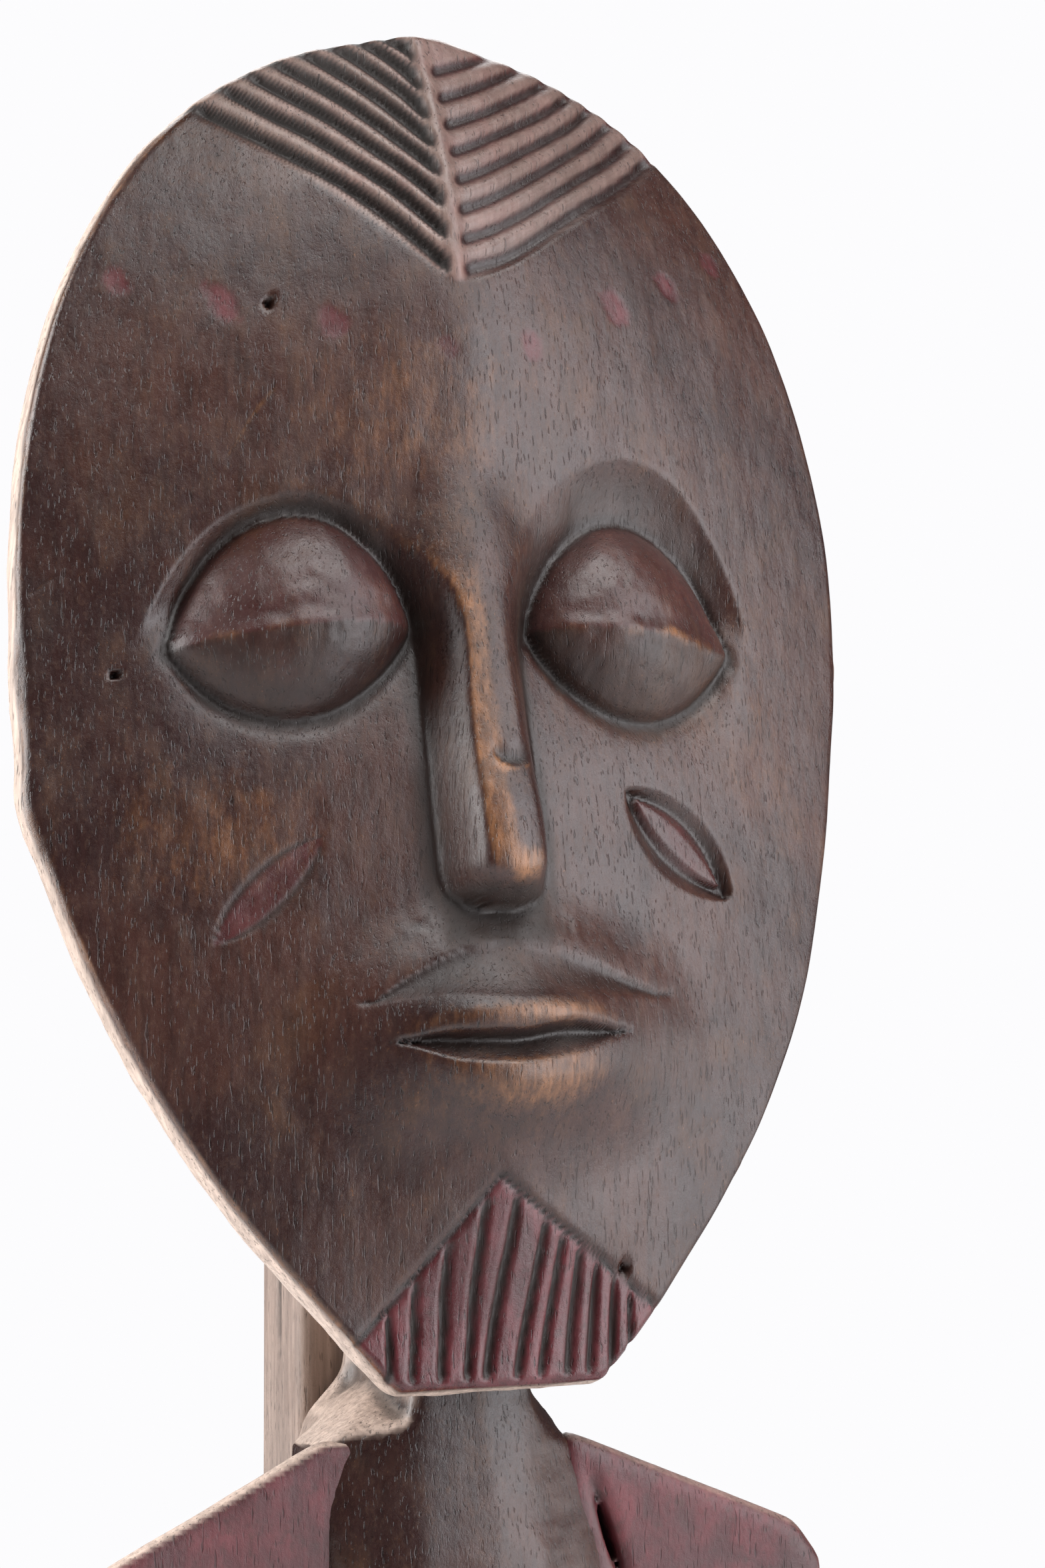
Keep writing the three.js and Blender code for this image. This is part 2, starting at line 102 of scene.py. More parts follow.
def layered(points, size, seed, layers=3):
    """Noise with finer and fainter noise laid over it."""
    size = np.asarray(size, dtype=float)
    total = sum(noise(points, size / 2 ** i, seed + i) / 2 ** i for i in range(layers))
    return total / (2 - 2.0 ** (1 - layers))


def scallops(points, size, seed):
    """Shallow dishes left by a gouge: 0 in the middle of each, rising to 1 at the ridges."""
    p = points / size
    cell = np.floor(p).astype(np.int64)
    nearest = np.full(len(p), 9.0)
    for shift in np.ndindex(3, 3, 3):
        c = cell + shift - 1
        centre = c + np.stack([hashed(c, seed + i) for i in range(3)], axis=1)
        nearest = np.minimum(nearest, ((p - centre) ** 2).sum(axis=1))
    return np.minimum(nearest, 1.0)


def unit(x):
    """A value kept between 0 and 1."""
    return np.clip(x, 0, 1)


def together(*columns):
    """Columns of numbers set side by side, such as points from their coordinates."""
    return np.stack(columns, axis=1)


def sheet(x, u):
    """Points on a flat sheet, as noise needs them."""
    return together(x, u, x * 0)


def step(x, low, high):
    """0 below low, 1 above high, smooth between; low may be above high."""
    t = unit((x - low) / (high - low))
    return t * t * (3 - 2 * t)


def hump(x, middle, width):
    """1 at the middle, fading to 0 on both sides."""
    return np.exp(-((x - middle) / width) ** 2)


def smooth_min(a, b, radius):
    """The lesser of two values, with a rounded change from one to the other."""
    h = np.maximum(radius - abs(a - b), 0) / radius
    return np.minimum(a, b) - h * h * radius / 4


def smooth_max(a, b, radius):
    return -smooth_min(-a, -b, radius)


def curve(x, *knots):
    """A smooth curve through (x, y) knots, flat at both ends."""
    kx, ky = np.array(knots, dtype=float).T
    slope = np.zeros(len(kx))
    secant = np.diff(ky) / np.diff(kx)
    same = secant[1:] * secant[:-1] > 0
    both = np.where(same, secant[1:] + secant[:-1], 1)
    slope[1:-1] = np.where(same, 2 * secant[1:] * secant[:-1] / both, 0)
    x = np.clip(x, kx[0], kx[-1])
    i = np.clip(np.searchsorted(kx, x) - 1, 0, len(kx) - 2)
    h = kx[i + 1] - kx[i]
    t = (x - kx[i]) / h
    a, b = ky[i], ky[i + 1]
    return ((2 * t ** 3 - 3 * t ** 2 + 1) * a + (t ** 3 - 2 * t ** 2 + t) * h * slope[i]
            + (3 * t ** 2 - 2 * t ** 3) * b + (t ** 3 - t ** 2) * h * slope[i + 1])


def highest(*layers):
    """The greatest of several values at each point."""
    return reduce(np.maximum, layers)


def to_segment(x, y, start, end):
    """Distance across a line, signed to its left, and the share of the way along it."""
    dx, dy = end[0] - start[0], end[1] - start[1]
    length = hypot(dx, dy)
    along = ((x - start[0]) * dx + (y - start[1]) * dy) / length ** 2
    across = ((y - start[1]) * dx - (x - start[0]) * dy) / length
    return across, along


# ---- meshes

def quad_normals(points, quads):
    """A normal for each quad, as long as the quad is large."""
    a, b, c, d = points[quads.T]
    return np.cross(c - a, d - b)


def normals_and_relief(points, quads, passes=8):
    """Each point's outward normal, and how far it stands proud of what is around it."""
    count = len(points)
    across = quad_normals(points, quads)
    sums = [sum(np.bincount(quads[:, k], across[:, i], count) for k in range(4)) for i in range(3)]
    normal = np.stack(sums, axis=1)
    normal = normal / highest(np.linalg.norm(normal, axis=1), 1e-9)[:, None]
    start, end = quads.ravel(), np.roll(quads, -1, axis=1).ravel()
    links = highest(np.bincount(start, minlength=count) + np.bincount(end, minlength=count), 1)
    smooth = points
    for _ in range(passes):
        sums = [np.bincount(start, smooth[end, i], count) + np.bincount(end, smooth[start, i], count)
                for i in range(3)]
        smooth = np.stack(sums, axis=1) / links[:, None]
    return normal, ((points - smooth) * normal).sum(axis=1)


def make_piece(name, points, quads, tris, channels):
    """A smooth-shaded object from arrays in millimetres, with a number per point in each channel."""
    mesh = bpy.data.meshes.new(name)
    tris = np.zeros((0, 3), dtype=np.int32) if tris is None else tris
    loops = np.concatenate([quads.ravel(), tris.ravel()]).astype(np.int32)
    starts = np.concatenate([np.arange(len(quads)) * 4, len(quads) * 4 + np.arange(len(tris)) * 3])
    mesh.vertices.add(len(points))
    mesh.vertices.foreach_set("co", (points * MM).astype(np.float32).ravel())
    mesh.loops.add(len(loops))
    mesh.loops.foreach_set("vertex_index", loops)
    mesh.polygons.add(len(starts))
    mesh.polygons.foreach_set("loop_start", starts.astype(np.int32))
    mesh.update(calc_edges=True)
    mesh.validate()
    mesh.shade_smooth()
    _, relief = normals_and_relief(points, quads)
    rubbed = 1 - channels.get("unrubbed", 0)
    # Raised places get a share of rubbing; sunken places get a painted shade in the hollows.
    channels = dict(channels, crest=rubbed * relief / 0.35, hollow_shade=-relief / 0.4)
    for channel, values in channels.items():
        layer = mesh.attributes.new(channel, "FLOAT", "POINT")
        layer.data.foreach_set("value", unit(values).astype(np.float32))
    piece = bpy.data.objects.new(name, mesh)
    scene.collection.objects.link(piece)
    return piece


def finish_piece(piece, node, material):
    """Gives a piece its material, hangs it from the root body, and hides the CAD node that it dresses."""
    piece.data.materials.append(material)
    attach(piece, "root")
    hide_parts(node)


# ---- the face

def half_width(level, sign):
    """Half the face's width at a level above the chin. The two sides differ a little."""
    upper = unit((level - WIDEST) / (HEAD_LENGTH - WIDEST))
    lower = unit((WIDEST - level) / WIDEST)
    oval = HALF_WIDTH * (1 - upper ** 2.15) ** (1 / 2.15)
    taper = HALF_WIDTH - (HALF_WIDTH - CHIN_HALF) * lower ** 2.22
    width = np.where(level > WIDEST, oval, taper)
    if sign < 0:
        return width + 1.4 * hump(level, 104, 30) + 1.5 * hump(level, 111, 8) - 0.9 * hump(level, 16, 12)
    return width - 2.4 * hump(level, 106, 34) + 0.6 * hump(level, 12, 8)


def outline_reach(angle, middle):
    """Distance from the middle of the face to its outline, for each direction."""
    levels = np.linspace(0, HEAD_LENGTH, 3000)
    right = together(half_width(levels, 1), levels)
    left = together(-half_width(levels, -1), levels)
    across = np.linspace(-CHIN_HALF, CHIN_HALF, 300)
    chin = together(across, np.zeros_like(across))
    rim = np.concatenate([right, left, chin]) - (0, middle)
    angles = np.arctan2(rim[:, 1], rim[:, 0])
    order = np.argsort(angles)
    even = np.linspace(-pi, pi, 2881)
    reach = np.interp(even, angles[order], np.hypot(rim[:, 0], rim[:, 1])[order], period=2 * pi)
    window = np.hanning(15)
    padded = np.concatenate([reach[-9:-1], reach, reach[1:9]])
    reach = np.convolve(padded, window / window.sum(), mode="same")[8:-8]
    return np.interp(angle, even, reach, period=2 * pi)


def leaf(x, level, start, end, width):
    """1 along the middle of a leaf shape between two points, 0 on its outline, negative outside."""
    across, along = to_segment(x, level, start, end)
    half = width / 2 * np.clip(1 - (2 * along - 1) ** 2, 1e-3, 1) ** 0.8
    return 1 - abs(across) / half - 20 * highest(abs(along - 0.5) - 0.5, 0)


def v_cut(distance, width):
    """A V-shaped cut's depth from 0 to 1, with a slightly rounded bottom."""
    t = unit(1 - abs(distance) / (width / 2))
    return t * t * (1.6 - 0.6 * t)


HAIR_SPINE = -1.7  # where the chevrons' two sides meet


def hair_cuts(x, u):
    """Chevron grooves above the forehead: their depth share, their soot, and where the glazed hair is."""
    depth = np.zeros_like(x)
    soot = np.zeros_like(x)
    wobble = 0.5 * noise(sheet(x, u), 14.0, 5)
    for i in range(8):
        start = 211.8 + 6.35 * i
        rim_x = -45.5 + 5.6 * i
        rim_u = 248.0 + 4.6 * i - 0.35 * i * i
        across, along = to_segment(x, u, (HAIR_SPINE, start), (rim_x, rim_u))
        across = across + 1.2 * np.sin(unit(along) * pi) + wobble
        on_left = step(x, HAIR_SPINE - 0.4, HAIR_SPINE - 2.0)
        cut = v_cut(across, 4.7 * (0.8 + 0.2 * step(along, 0, 0.2))) * on_left
        depth = highest(depth, cut)
        soot = highest(soot, step(cut, 0.03, 0.25))
        reach = x - HAIR_SPINE
        line = start - 1.2 + 0.8 * reach - 8.5 * (1 - np.exp(-highest(reach, 0) / 15))
        across = (u - line) * 0.8 + wobble
        on_right = step(x, HAIR_SPINE + 0.8, HAIR_SPINE + 3.4)
        cut = hump(across, 0, 1.25) * on_right
        depth = highest(depth, cut * 0.62)
        soot = highest(soot, step(cut, 0.5, 1.0) * 0.35)
    reach = abs(x - HAIR_SPINE)
    edge_left = 209.2 + 0.86 * reach
    edge_right = 209.2 + 0.8 * reach - 8.5 * (1 - np.exp(-reach / 15))
    edge = np.where(x < HAIR_SPINE, edge_left, edge_right)
    return depth, soot, step(u - edge, -0.6, 0.5), u - edge


def beard_cuts(x, u):
    """Upright grooves in a pointed field on the chin: their depth share, the border and the field."""
    apex = (-1.0, 38.6)
    left, _ = to_segment(x, u, apex, (-28.9, 8.3))
    right, _ = to_segment(x, u, apex, (32.1, 13.4))
    inside = np.minimum(left, -right)
    depth = np.zeros_like(x)
    wobble = 0.3 * noise(sheet(x, u), 9.0, 8)
    feet = (-22.1, -17.9, -12.3, -7.1, -2.9, 3.4, 8.1, 13.5, 17.8, 22.5, 26.8)
    tops = (-22.0, -16.4, -10.6, -3.9, 2.7, 8.8, 12.4, 15.8, 19.6, 23.6, 27.0)
    widths = (2.5, 2.4, 2.9, 2.7, 3.6, 3.0, 2.6, 2.8, 2.6, 2.7, 2.1)
    for foot, top, width in zip(feet, tops, widths):
        top_level = 37.5 - 0.85 * abs(top - 0.5)
        line = foot + (top - foot) * (u - 3) / (top_level - 3)
        cut = v_cut(x - line + wobble, width * (0.75 + 0.25 * step(inside, 1, 7)))
        depth = highest(depth, cut * step(inside, 0.4, 2.0) * step(u, 0.8, 2.4))
    return depth, v_cut(inside, 1.9), step(inside, -0.3, 0.5)


# The edge on each side that runs up the nose and on round the brow, as (across, level).
LEFT_RIM = ((-4.8, 84), (-5.2, 100), (-5.7, 120), (-4.8, 138), (-6, 147), (-11, 155), (-20, 163.5),
            (-33, 168.5), (-46, 165), (-57, 155), (-64, 142))
RIGHT_RIM = ((4.6, 84), (4.6, 98), (3.4, 112), (2.4, 126), (1.8, 138), (3.4, 148), (8, 157.5), (14, 166.5),
             (23, 174), (34, 177.5), (45, 173.5), (53, 164), (59, 152), (62, 141))


def past_rim(x, u, rim, sign):
    """How far a point lies past the rim, into the socket or down the nose's side, and 0 before it."""
    t = np.linspace(0, len(rim) - 1, 56)
    line = np.stack([curve(t, *[(i, knot[axis]) for i, knot in enumerate(rim)]) for axis in (0, 1)], axis=1)
    nearest = np.full(len(x), 1e9)
    inside = np.zeros(len(x), dtype=bool)
    for start, end in zip(line[:-1], line[1:]):
        across, along = to_segment(x, u, start, end)
        reach = hypot(end[0] - start[0], end[1] - start[1])
        distance = np.hypot(across, highest(abs(along - 0.5) - 0.5, 0) * reach)
        closer = distance < nearest
        nearest = np.where(closer, distance, nearest)
        inside = np.where(closer, across * sign < 0, inside)
    return np.where(inside, nearest, 0.0)


EYES = ((-1, -35.4), (1, 34.0))  # the side that each eye is on, and its middle
EYE_DEPTH = 3.0  # how far the eye is kept below the socket where there is none


def eye(x, u, middle, sign):
    """A closed eye: its height above the socket, both lids, level past the crease, fullness and gap."""
    half = 22.8 if sign < 0 else 22.0
    across = (x - middle) / half
    body = unit(1 - across ** 2)
    crease = 140.6 - 1.6 * across * sign + 0.8 * body
    top = crease + 23.0 * body ** 0.68
    bottom = crease - 16.0 * body ** 0.85
    rise = 11.5 * body ** 0.68
    up = unit((u - crease) / highest(top - crease, 0.1))
    down = unit((crease - u) / highest(crease - bottom, 0.1))
    upper = rise * (1 - up ** 2.2) ** 0.75
    lower = rise * (1 - down ** 1.5) ** 0.8
    height = np.where(u >= crease, upper, lower) + 0.5 * hump(u, crease + 0.6, 1.6) * body
    inside = (u < top) & (u > bottom) & (abs(across) < 1)
    gap = np.where(u >= crease, u - top, bottom - u) * 0.8
    gap = np.where(abs(across) < 1, gap, np.hypot((abs(across) - 1) * half, 0.8 * (u - crease)))
    upper_lid = inside & (u >= crease)
    lower_lid = inside & (u < crease)
    return np.where(inside, height, -EYE_DEPTH), upper_lid, lower_lid, u - crease, body, gap


def brows_and_eyes(x, u, flat, height, past):
    """Sockets cut under arched brows, and the lidded eyes in them."""
    for side in (-1, 1):
        depth = (3.6 if side < 0 else 5.2) * step(u, 114, 147)
        depth = depth * (1 - step(x * side, 48, 61) * step(u, 149, 138))
        bowl_width = 13.0 if side > 0 else 7.5
        height -= depth * (1 - unit(1 - past[side] / bowl_width) ** 1.8)

    lids = np.full_like(x, -EYE_DEPTH)
    upper_lid = np.zeros(len(x), dtype=bool)
    lower_lid = upper_lid.copy()
    worn = np.zeros_like(x)
    around = np.zeros_like(x)
    for side, middle in EYES:
        lid, up, low, from_crease, body, gap = eye(x, u, middle, side)
        lids = highest(lids, lid)
        upper_lid |= up
        lower_lid |= low
        rubbed = 0.35 + 0.65 * hump(x, middle + (5 if side > 0 else -7), 8)
        patchy = rubbed * (0.75 + 0.45 * noise(flat, 5.0, 72))
        band = hump(from_crease + 0.7 * noise(flat, 4.0, 71), 0.2, 1.7) * patchy
        worn = highest(worn, band * step(body, 0.05, 0.5) * (up | low))
        over = step(u, 142, 150)
        strength = (0.7 if side < 0 else 0.18 + 0.7 * step(x, 46, 54)) * over + 0.85 * (1 - over)
        close = hump(gap + 0.7 * noise(flat, 3.0, 74), 0.4, 2.9 - (1.0 - over) * 1.1)
        bowl = step(past[side], 1.0, 6.0) * step(u, 138, 150) * (gap > 0)
        around = highest(around, close * strength, 0.4 * bowl)
        height -= 0.9 * hump(gap, 0.9, 1.7) * strength * (gap > -1)
    height = smooth_max(height, height + lids, 0.8)
    return height, upper_lid, lower_lid, worn, around


def nose(x, u, height, past):
    """A long narrow nose that runs up between the brows and falls away past the rims."""
    middle = curve(u, (88, -0.2), (120, -1.2), (150, -1.6))
    ridge = curve(u, (86, 25), (93, 26.4), (98, 27), (120, 24.6), (150, 20.9), (165, 19.4), (180, 18.3),
                  (200, 17))
    side = abs(x - middle)
    front = smooth_max(height, ridge - 0.5 * (side / 4) ** 2, 2.5)
    end = 88.6 + 0.3 * highest(side - 2.5, 0)
    front = front - 6.0 * unit((end + 5.2 - u) / 5.2) ** 1.4 - 40 * step(u, end, end - 3.4)
    lift = highest(front - height, 0)
    width = curve(u, (86, 5.6), (97, 6.4), (128, 7.2), (150, 6.4), (166, 8.5))
    drop = lift + curve(u, (140, 4), (165, 5))
    fall = 0
    for sign, softness in ((-1, 0.5), (1, 1.4)):
        distance = past[sign]
        share = (np.sqrt(distance ** 2 + softness ** 2) - softness) / width
        fall += np.clip(share, 0, 1.5) ** (1.45 if sign < 0 else 1.3)
    above_brows = 1.3 * step(u, 154, 186) + 30 * step(u, 180, 225)
    nose_height = front - drop * fall - above_brows - 5 * step(abs(x), 19, 34)
    nearest = highest(past[-1], past[1])

    lip = 113.4 + 0.1 * (x - 0.9) ** 2
    scoop = step(u, lip + 4.6, lip + 0.6) * step(u, lip - 0.5, lip + 0.6) * step(abs(x - 0.9), 4.6, 2.6)
    nose_height = nose_height - 1.2 * scoop
    tip = hump(u, 94.5, 3.2) * hump(x, 1.8, 3.2)
    ridge_edge = step(nearest, 1.0, 0) * step(x, middle + 2, middle - 1) * step(side, 16, 9)
    worn = 0.9 * tip + 0.55 * ridge_edge * step(u, 168, 140) * step(u, 92, 99)
    worn += 0.4 * hump(u, lip - 0.7, 0.8) * step(abs(x - 0.9), 4.6, 2.6)
    # The underside of the tip is darkened as a painted shade under the nose, and the notch with soot.
    under = step(u, 93, 90) * step(side, 13, 9) * step(u, 78, 83)
    return nose_height, nearest, worn, highest(0.8 * under, 0.45 * scoop)


def mouth(x, u, height):
    """A pointed mouth: a facet under a sharp outline, a worn band, a deep slit and a soft lower lip."""
    muzzle = np.sqrt(((x - 2) / 46) ** 2 + ((u - 64) / 31) ** 2)
    height += 8.6 * (1 - step(muzzle, 0.1, 1.0))
    height -= 0.8 * hump(x, -0.5, 3.4) * hump(u, 86, 5)
    peak = curve(x, (-27.5, 70.9), (-18, 76.0), (-8, 80.2), (0, 81.4), (6, 80.9), (18, 77.6), (37.5, 71.6))
    band = curve(x, (-27.5, 70.6), (-12, 71.4), (2, 70.2), (14, 70.6), (37.5, 71.3))
    share = unit((u - band) / highest(peak - band, 0.8))
    corners = unit(1 - ((x - 4.5) / 33) ** 2) ** 0.6
    height -= 4.3 * share * (1 - share) ** 0.6 * corners
    line = hump(u, peak + 0.3, 1.5) * step(x, -30, -26) * step(x, 40, 36)
    height -= 0.25 * line
    height += 1.5 * hump(u, 67.6, 3.4) * step(abs(x - 1.5), 25, 8)
    slit_top = curve(x, (-23.4, 63.6), (-12, 65.1), (0, 64.9), (11, 66.4), (26, 64.4))
    slit_low = curve(x, (-23.4, 63.2), (-10, 58.9), (0, 58.2), (14, 60.3), (26, 64.0))
    across = unit((slit_top - u) / highest(slit_top - slit_low, 0.3))
    ends = unit(1 - ((x - 1.3) / 24.7) ** 2) ** 0.5
    slit = 4.6 * ends * step(across, 0, 0.34) * (1 - across) ** 0.9 * 1.35
    height -= slit
    lower_lip = hump(u, 54.6 + 0.012 * (x - 3) ** 2, 4.8) * step(abs(x - 3), 27, 10)
    height = height + 1.2 * lower_lip - 0.7 * hump(u, 46.0, 4.5) * step(abs(x - 2), 24, 8)
    worn = hump(u, 67.9, 2.3) * (0.15 + 0.6 * hump(x, 5, 12)) * step(abs(x), 29, 18)
    worn += 0.5 * lower_lip * hump(x, 8, 15)
    facet = unit(share * 4) * unit((1 - share) * 6) * step(corners, 0, 0.5)
    return height, worn, step(slit, 0.6, 2.6), facet


def cheek_scars(x, u, height):
    """An incised leaf on each cheek: a faint one at the left, and an open one at the right."""
    outer = leaf(x, u, (-53.0, 83.4), (-32.2, 102.8), 7.4)
    line = hump(outer, 0.02, 0.2)
    height = height - 0.35 * line - 0.25 * step(outer, 0, 0.8)
    soot = 0.45 * line
    paint = 0.5 * step(outer, 0.0, 0.3)
    outer = leaf(x, u, (30.2, 111.6), (53.0, 91.0), 15.0)
    inner = leaf(x + 0.7, u - 0.5, (32.8, 109.4), (51.2, 92.8), 8.4)
    cut = unit(outer * 1.6) * 2.5 - unit(inner * 2.0) ** 0.8 * 2.1
    height -= np.where(outer > 0, cut, 0)
    right_of = step(to_segment(x, u, (30.2, 111.6), (53.6, 90.4))[0], -0.5, 1.2)
    far_side = hump(inner, -0.3, 0.4) * right_of * step(u, 108, 102)
    beside = highest(hump(inner, -0.1, 0.14) * 0.55, far_side)
    soot = highest(soot, (0.1 + 0.5 * beside) * step(outer, -0.05, 0.15) * step(inner, 0.25, -0.05))
    paint = highest(paint, 0.35 * step(inner, -0.1, 0.25))
    return height, soot, paint


# Dabs and insect holes as (across, level, radius), and scratches as two ends.
DABS = ((-64.4, 211.6, 2.6), (-45.8, 205.4, 3.8), (-25.4, 201.1, 3.6), (-4.2, 195.7, 2.3),
        (14.0, 197.8, 2.9), (34.4, 207.5, 3.7), (48.1, 214.7, 3.4), (60.8, 221.2, 2.8))
HOLES = ((-68.3, 134.9, 1.0), (-37.0, 205.6, 1.3), (25.6, 20.6, 1.5))
SCRATCHES = (((-46.9, 174.1), (-36.8, 189.4)), ((29.7, 39.4), (51.9, 49.8)),
             ((-83.5, 151.1), (-77.7, 153.7)))
# Warmer, more rubbed wood as (across, level, reach across, reach up, amount).
WARM_PATCHES = ((-52, 104, 26, 18, 0.42), (-8, 52, 34, 16, 0.3), (-10, 184, 34, 24, 0.42),
                (64, 120, 14, 46, 0.3))


def brow_dots(x, u, flat):
    """A row of small faded dabs of glaze across the forehead."""
    dots = np.zeros_like(x)
    for dot_x, dot_u, radius in DABS:
        near = np.hypot((x - dot_x) * 1.25 + 0.35 * (u - dot_u), u - dot_u) / radius
        near = near * (1 + 0.3 * noise(flat + dot_x, 2.2, 31)) + 0.12 * noise(flat + dot_x, 0.9, 33)
        dots = highest(dots, step(near, 1.15, 0.75))
    return dots


def face(x, u):
    """Height of the carved face above its rim plane, with its paint channels, at points in its plane."""
    flat = sheet(x, u)
    half = np.where(x < 0, half_width(u, -1), half_width(u, 1))
    share = unit(np.sqrt(x * x + 9) / highest(half, 6))
    keel = curve(u, (0, 0.2), (38, 8.5), (75, 13), (110, 13.5), (145, 15), (175, 18), (205, 20), (228, 18.5),
                 (248, 12.5), (265, 7.5))
    height = keel * (1 - share ** 1.3) - 3.0 * hump(u, 135, 75) * share ** 3

    past = {-1: past_rim(x, u, LEFT_RIM, -1), 1: past_rim(x, u, RIGHT_RIM, 1)}
    nose_height, past_nose, nose_worn, nose_soot_and_shade = nose(x, u, height, past)
    height, upper_lid, lower_lid, crease_worn, around_eye = brows_and_eyes(x, u, flat, height, past)
    height = smooth_max(height, nose_height, 1.0)
    height, lip_worn, slit, lip_facet = mouth(x, u, height)
    height, scar_soot, scar_paint = cheek_scars(x, u, height)
    dots = brow_dots(x, u, flat)
    height -= 0.15 * dots

    hair_depth, hair_soot, hair, past_edge = hair_cuts(x, u)
    parting = 0.9 * hair * hump(x, HAIR_SPINE, 2.0)
    height = height - 2.6 * hair_depth + parting - 0.5 * hair * step(past_edge, 1.6, 0)
    beard_depth, beard_border, beard = beard_cuts(x, u)
    height = height - 1.7 * beard_depth - 1.1 * beard_border - 0.35 * beard

    # Knife and scraper marks left on the plain areas.
    lids = upper_lid | lower_lid
    plain = 1 - unit(hair + beard + lids + 0.7 * lip_facet)
    height += 0.34 * plain * (scallops(flat + 40, (14.0, 21.0, 50.0), 3) - 0.5)
    height = height + 0.22 * layered(flat, 18.0, 12) + 0.06 * layered(flat, (2.2, 6.0, 5.0), 14, 2)
    dents = 0.34 * layered(flat, 6.0, 17) + 0.13 * layered(flat, (1.5, 2.6, 5.0), 18, 2)
    height += lids * dents
    rough_lip = hump(u, 84, 6) * step(abs(x), 26, 10) * (1 - lip_facet)
    height += 0.28 * rough_lip * layered(flat, (1.6, 3.4, 5.0), 19, 2)
    scratches = np.zeros_like(x)
    for start, end in SCRATCHES:
        across, along = to_segment(x, u, start, end)
        scratch = v_cut(across + 0.8 * noise(flat, 7.0, 21), 1.3) * step(along, 0, 0.1) * step(along, 1, 0.9)
        height -= 0.3 * scratch
        scratches = highest(scratches, scratch)
    for hole_x, hole_u, radius in HOLES:
        height -= 2.5 * step(np.hypot(x - hole_x, u - hole_u), radius, radius * 0.5)

    warm = sum(amount * hump(np.hypot((x - warm_x) / wide, (u - warm_u) / tall), 0, 1)
               for warm_x, warm_u, wide, tall, amount in WARM_PATCHES)
    worn = unit(0.8 * crease_worn + 0.72 * lip_worn + nose_worn + 0.5 * scratches + warm)

    around_eye = (0.9 + 0.15 * layered(flat, 4.0, 75)) * around_eye * ~lids
    lid_soot = (0.34 + 0.3 * layered(flat, 5.0, 76)) * (lower_lid + 0.4 * upper_lid) * (1 - crease_worn)
    # Painted shade along the foot of the nose, wider at the left, and under the nose above the lip.
    nose_foot_shade = hump(past_nose, 7.6, 1.2 + 0.8 * (x < 0)) * step(abs(x), 17, 14)
    nose_foot_shade = nose_foot_shade * step(u, 84, 92) * step(u, 152, 142)
    shade_under_nose = hump(u, 84.0, 3.0) * hump(x, -1, 11)
    # Soot in the grooves and cuts, together with the painted shade under and beside the nose.
    soot = highest(0.95 * hair_soot, 0.9 * step(beard_depth, 0.1, 0.5), 0.85 * beard_border, around_eye,
                   lid_soot, nose_soot_and_shade, scar_soot, 0.6 * slit, 0.6 * nose_foot_shade, 0.4 * shade_under_nose,
                   0.3 * lip_facet)
    red = highest(0.5 * hair * (1 - 0.25 * step(x, 0, 20)), 0.95 * beard,
                  0.22 * upper_lid * step(crease_worn, 0.9, 0.3), 0.8 * dots, scar_paint)
    # Paler ridges in the hair, a little more at the left: partly dust, partly a painted sheen.
    dust_and_sheen = (0.2 + 0.12 * step(x, -1, -3)) * hair * step(hair_depth, 0.5, 0.1)
    unrubbed = unit(lids + step(scar_paint + scar_soot, 0.02, 0.1))
    channels = {"red": red, "soot": soot, "worn": worn, "raw": dust_and_sheen, "unrubbed": unrubbed}
    return height, channels, 2.6 * hair_depth


def head_place(x, u, n):
    """From the face board's own plane (across, up it, out of it) to the figure's frame."""
    y = CHIN_Y + u * sin(HEAD_LEAN) - n * cos(HEAD_LEAN)
    z = CHIN_Z + u * cos(HEAD_LEAN) + n * sin(HEAD_LEAN)
    return together(x, y, z)


def grid_quads(rows, columns):
    """Quads between the points of a grid, numbered row by row."""
    index = np.arange(rows * columns).reshape(rows, columns)
    return np.stack([index[:-1, :-1], index[:-1, 1:], index[1:, 1:], index[1:, :-1]], axis=-1).reshape(-1, 4)


def spaced(count, *dense):
    """Places from -1 to 1, closer together around each (middle, width, gain)."""
    t = np.linspace(-1, 1, 4001)
    weight = 1 + sum(gain * hump(t, middle, width) for middle, width, gain in dense)
    total = np.concatenate([[0], np.cumsum((weight[1:] + weight[:-1]) / 2)])
    return np.interp(np.linspace(0, total[-1], count), total, t)


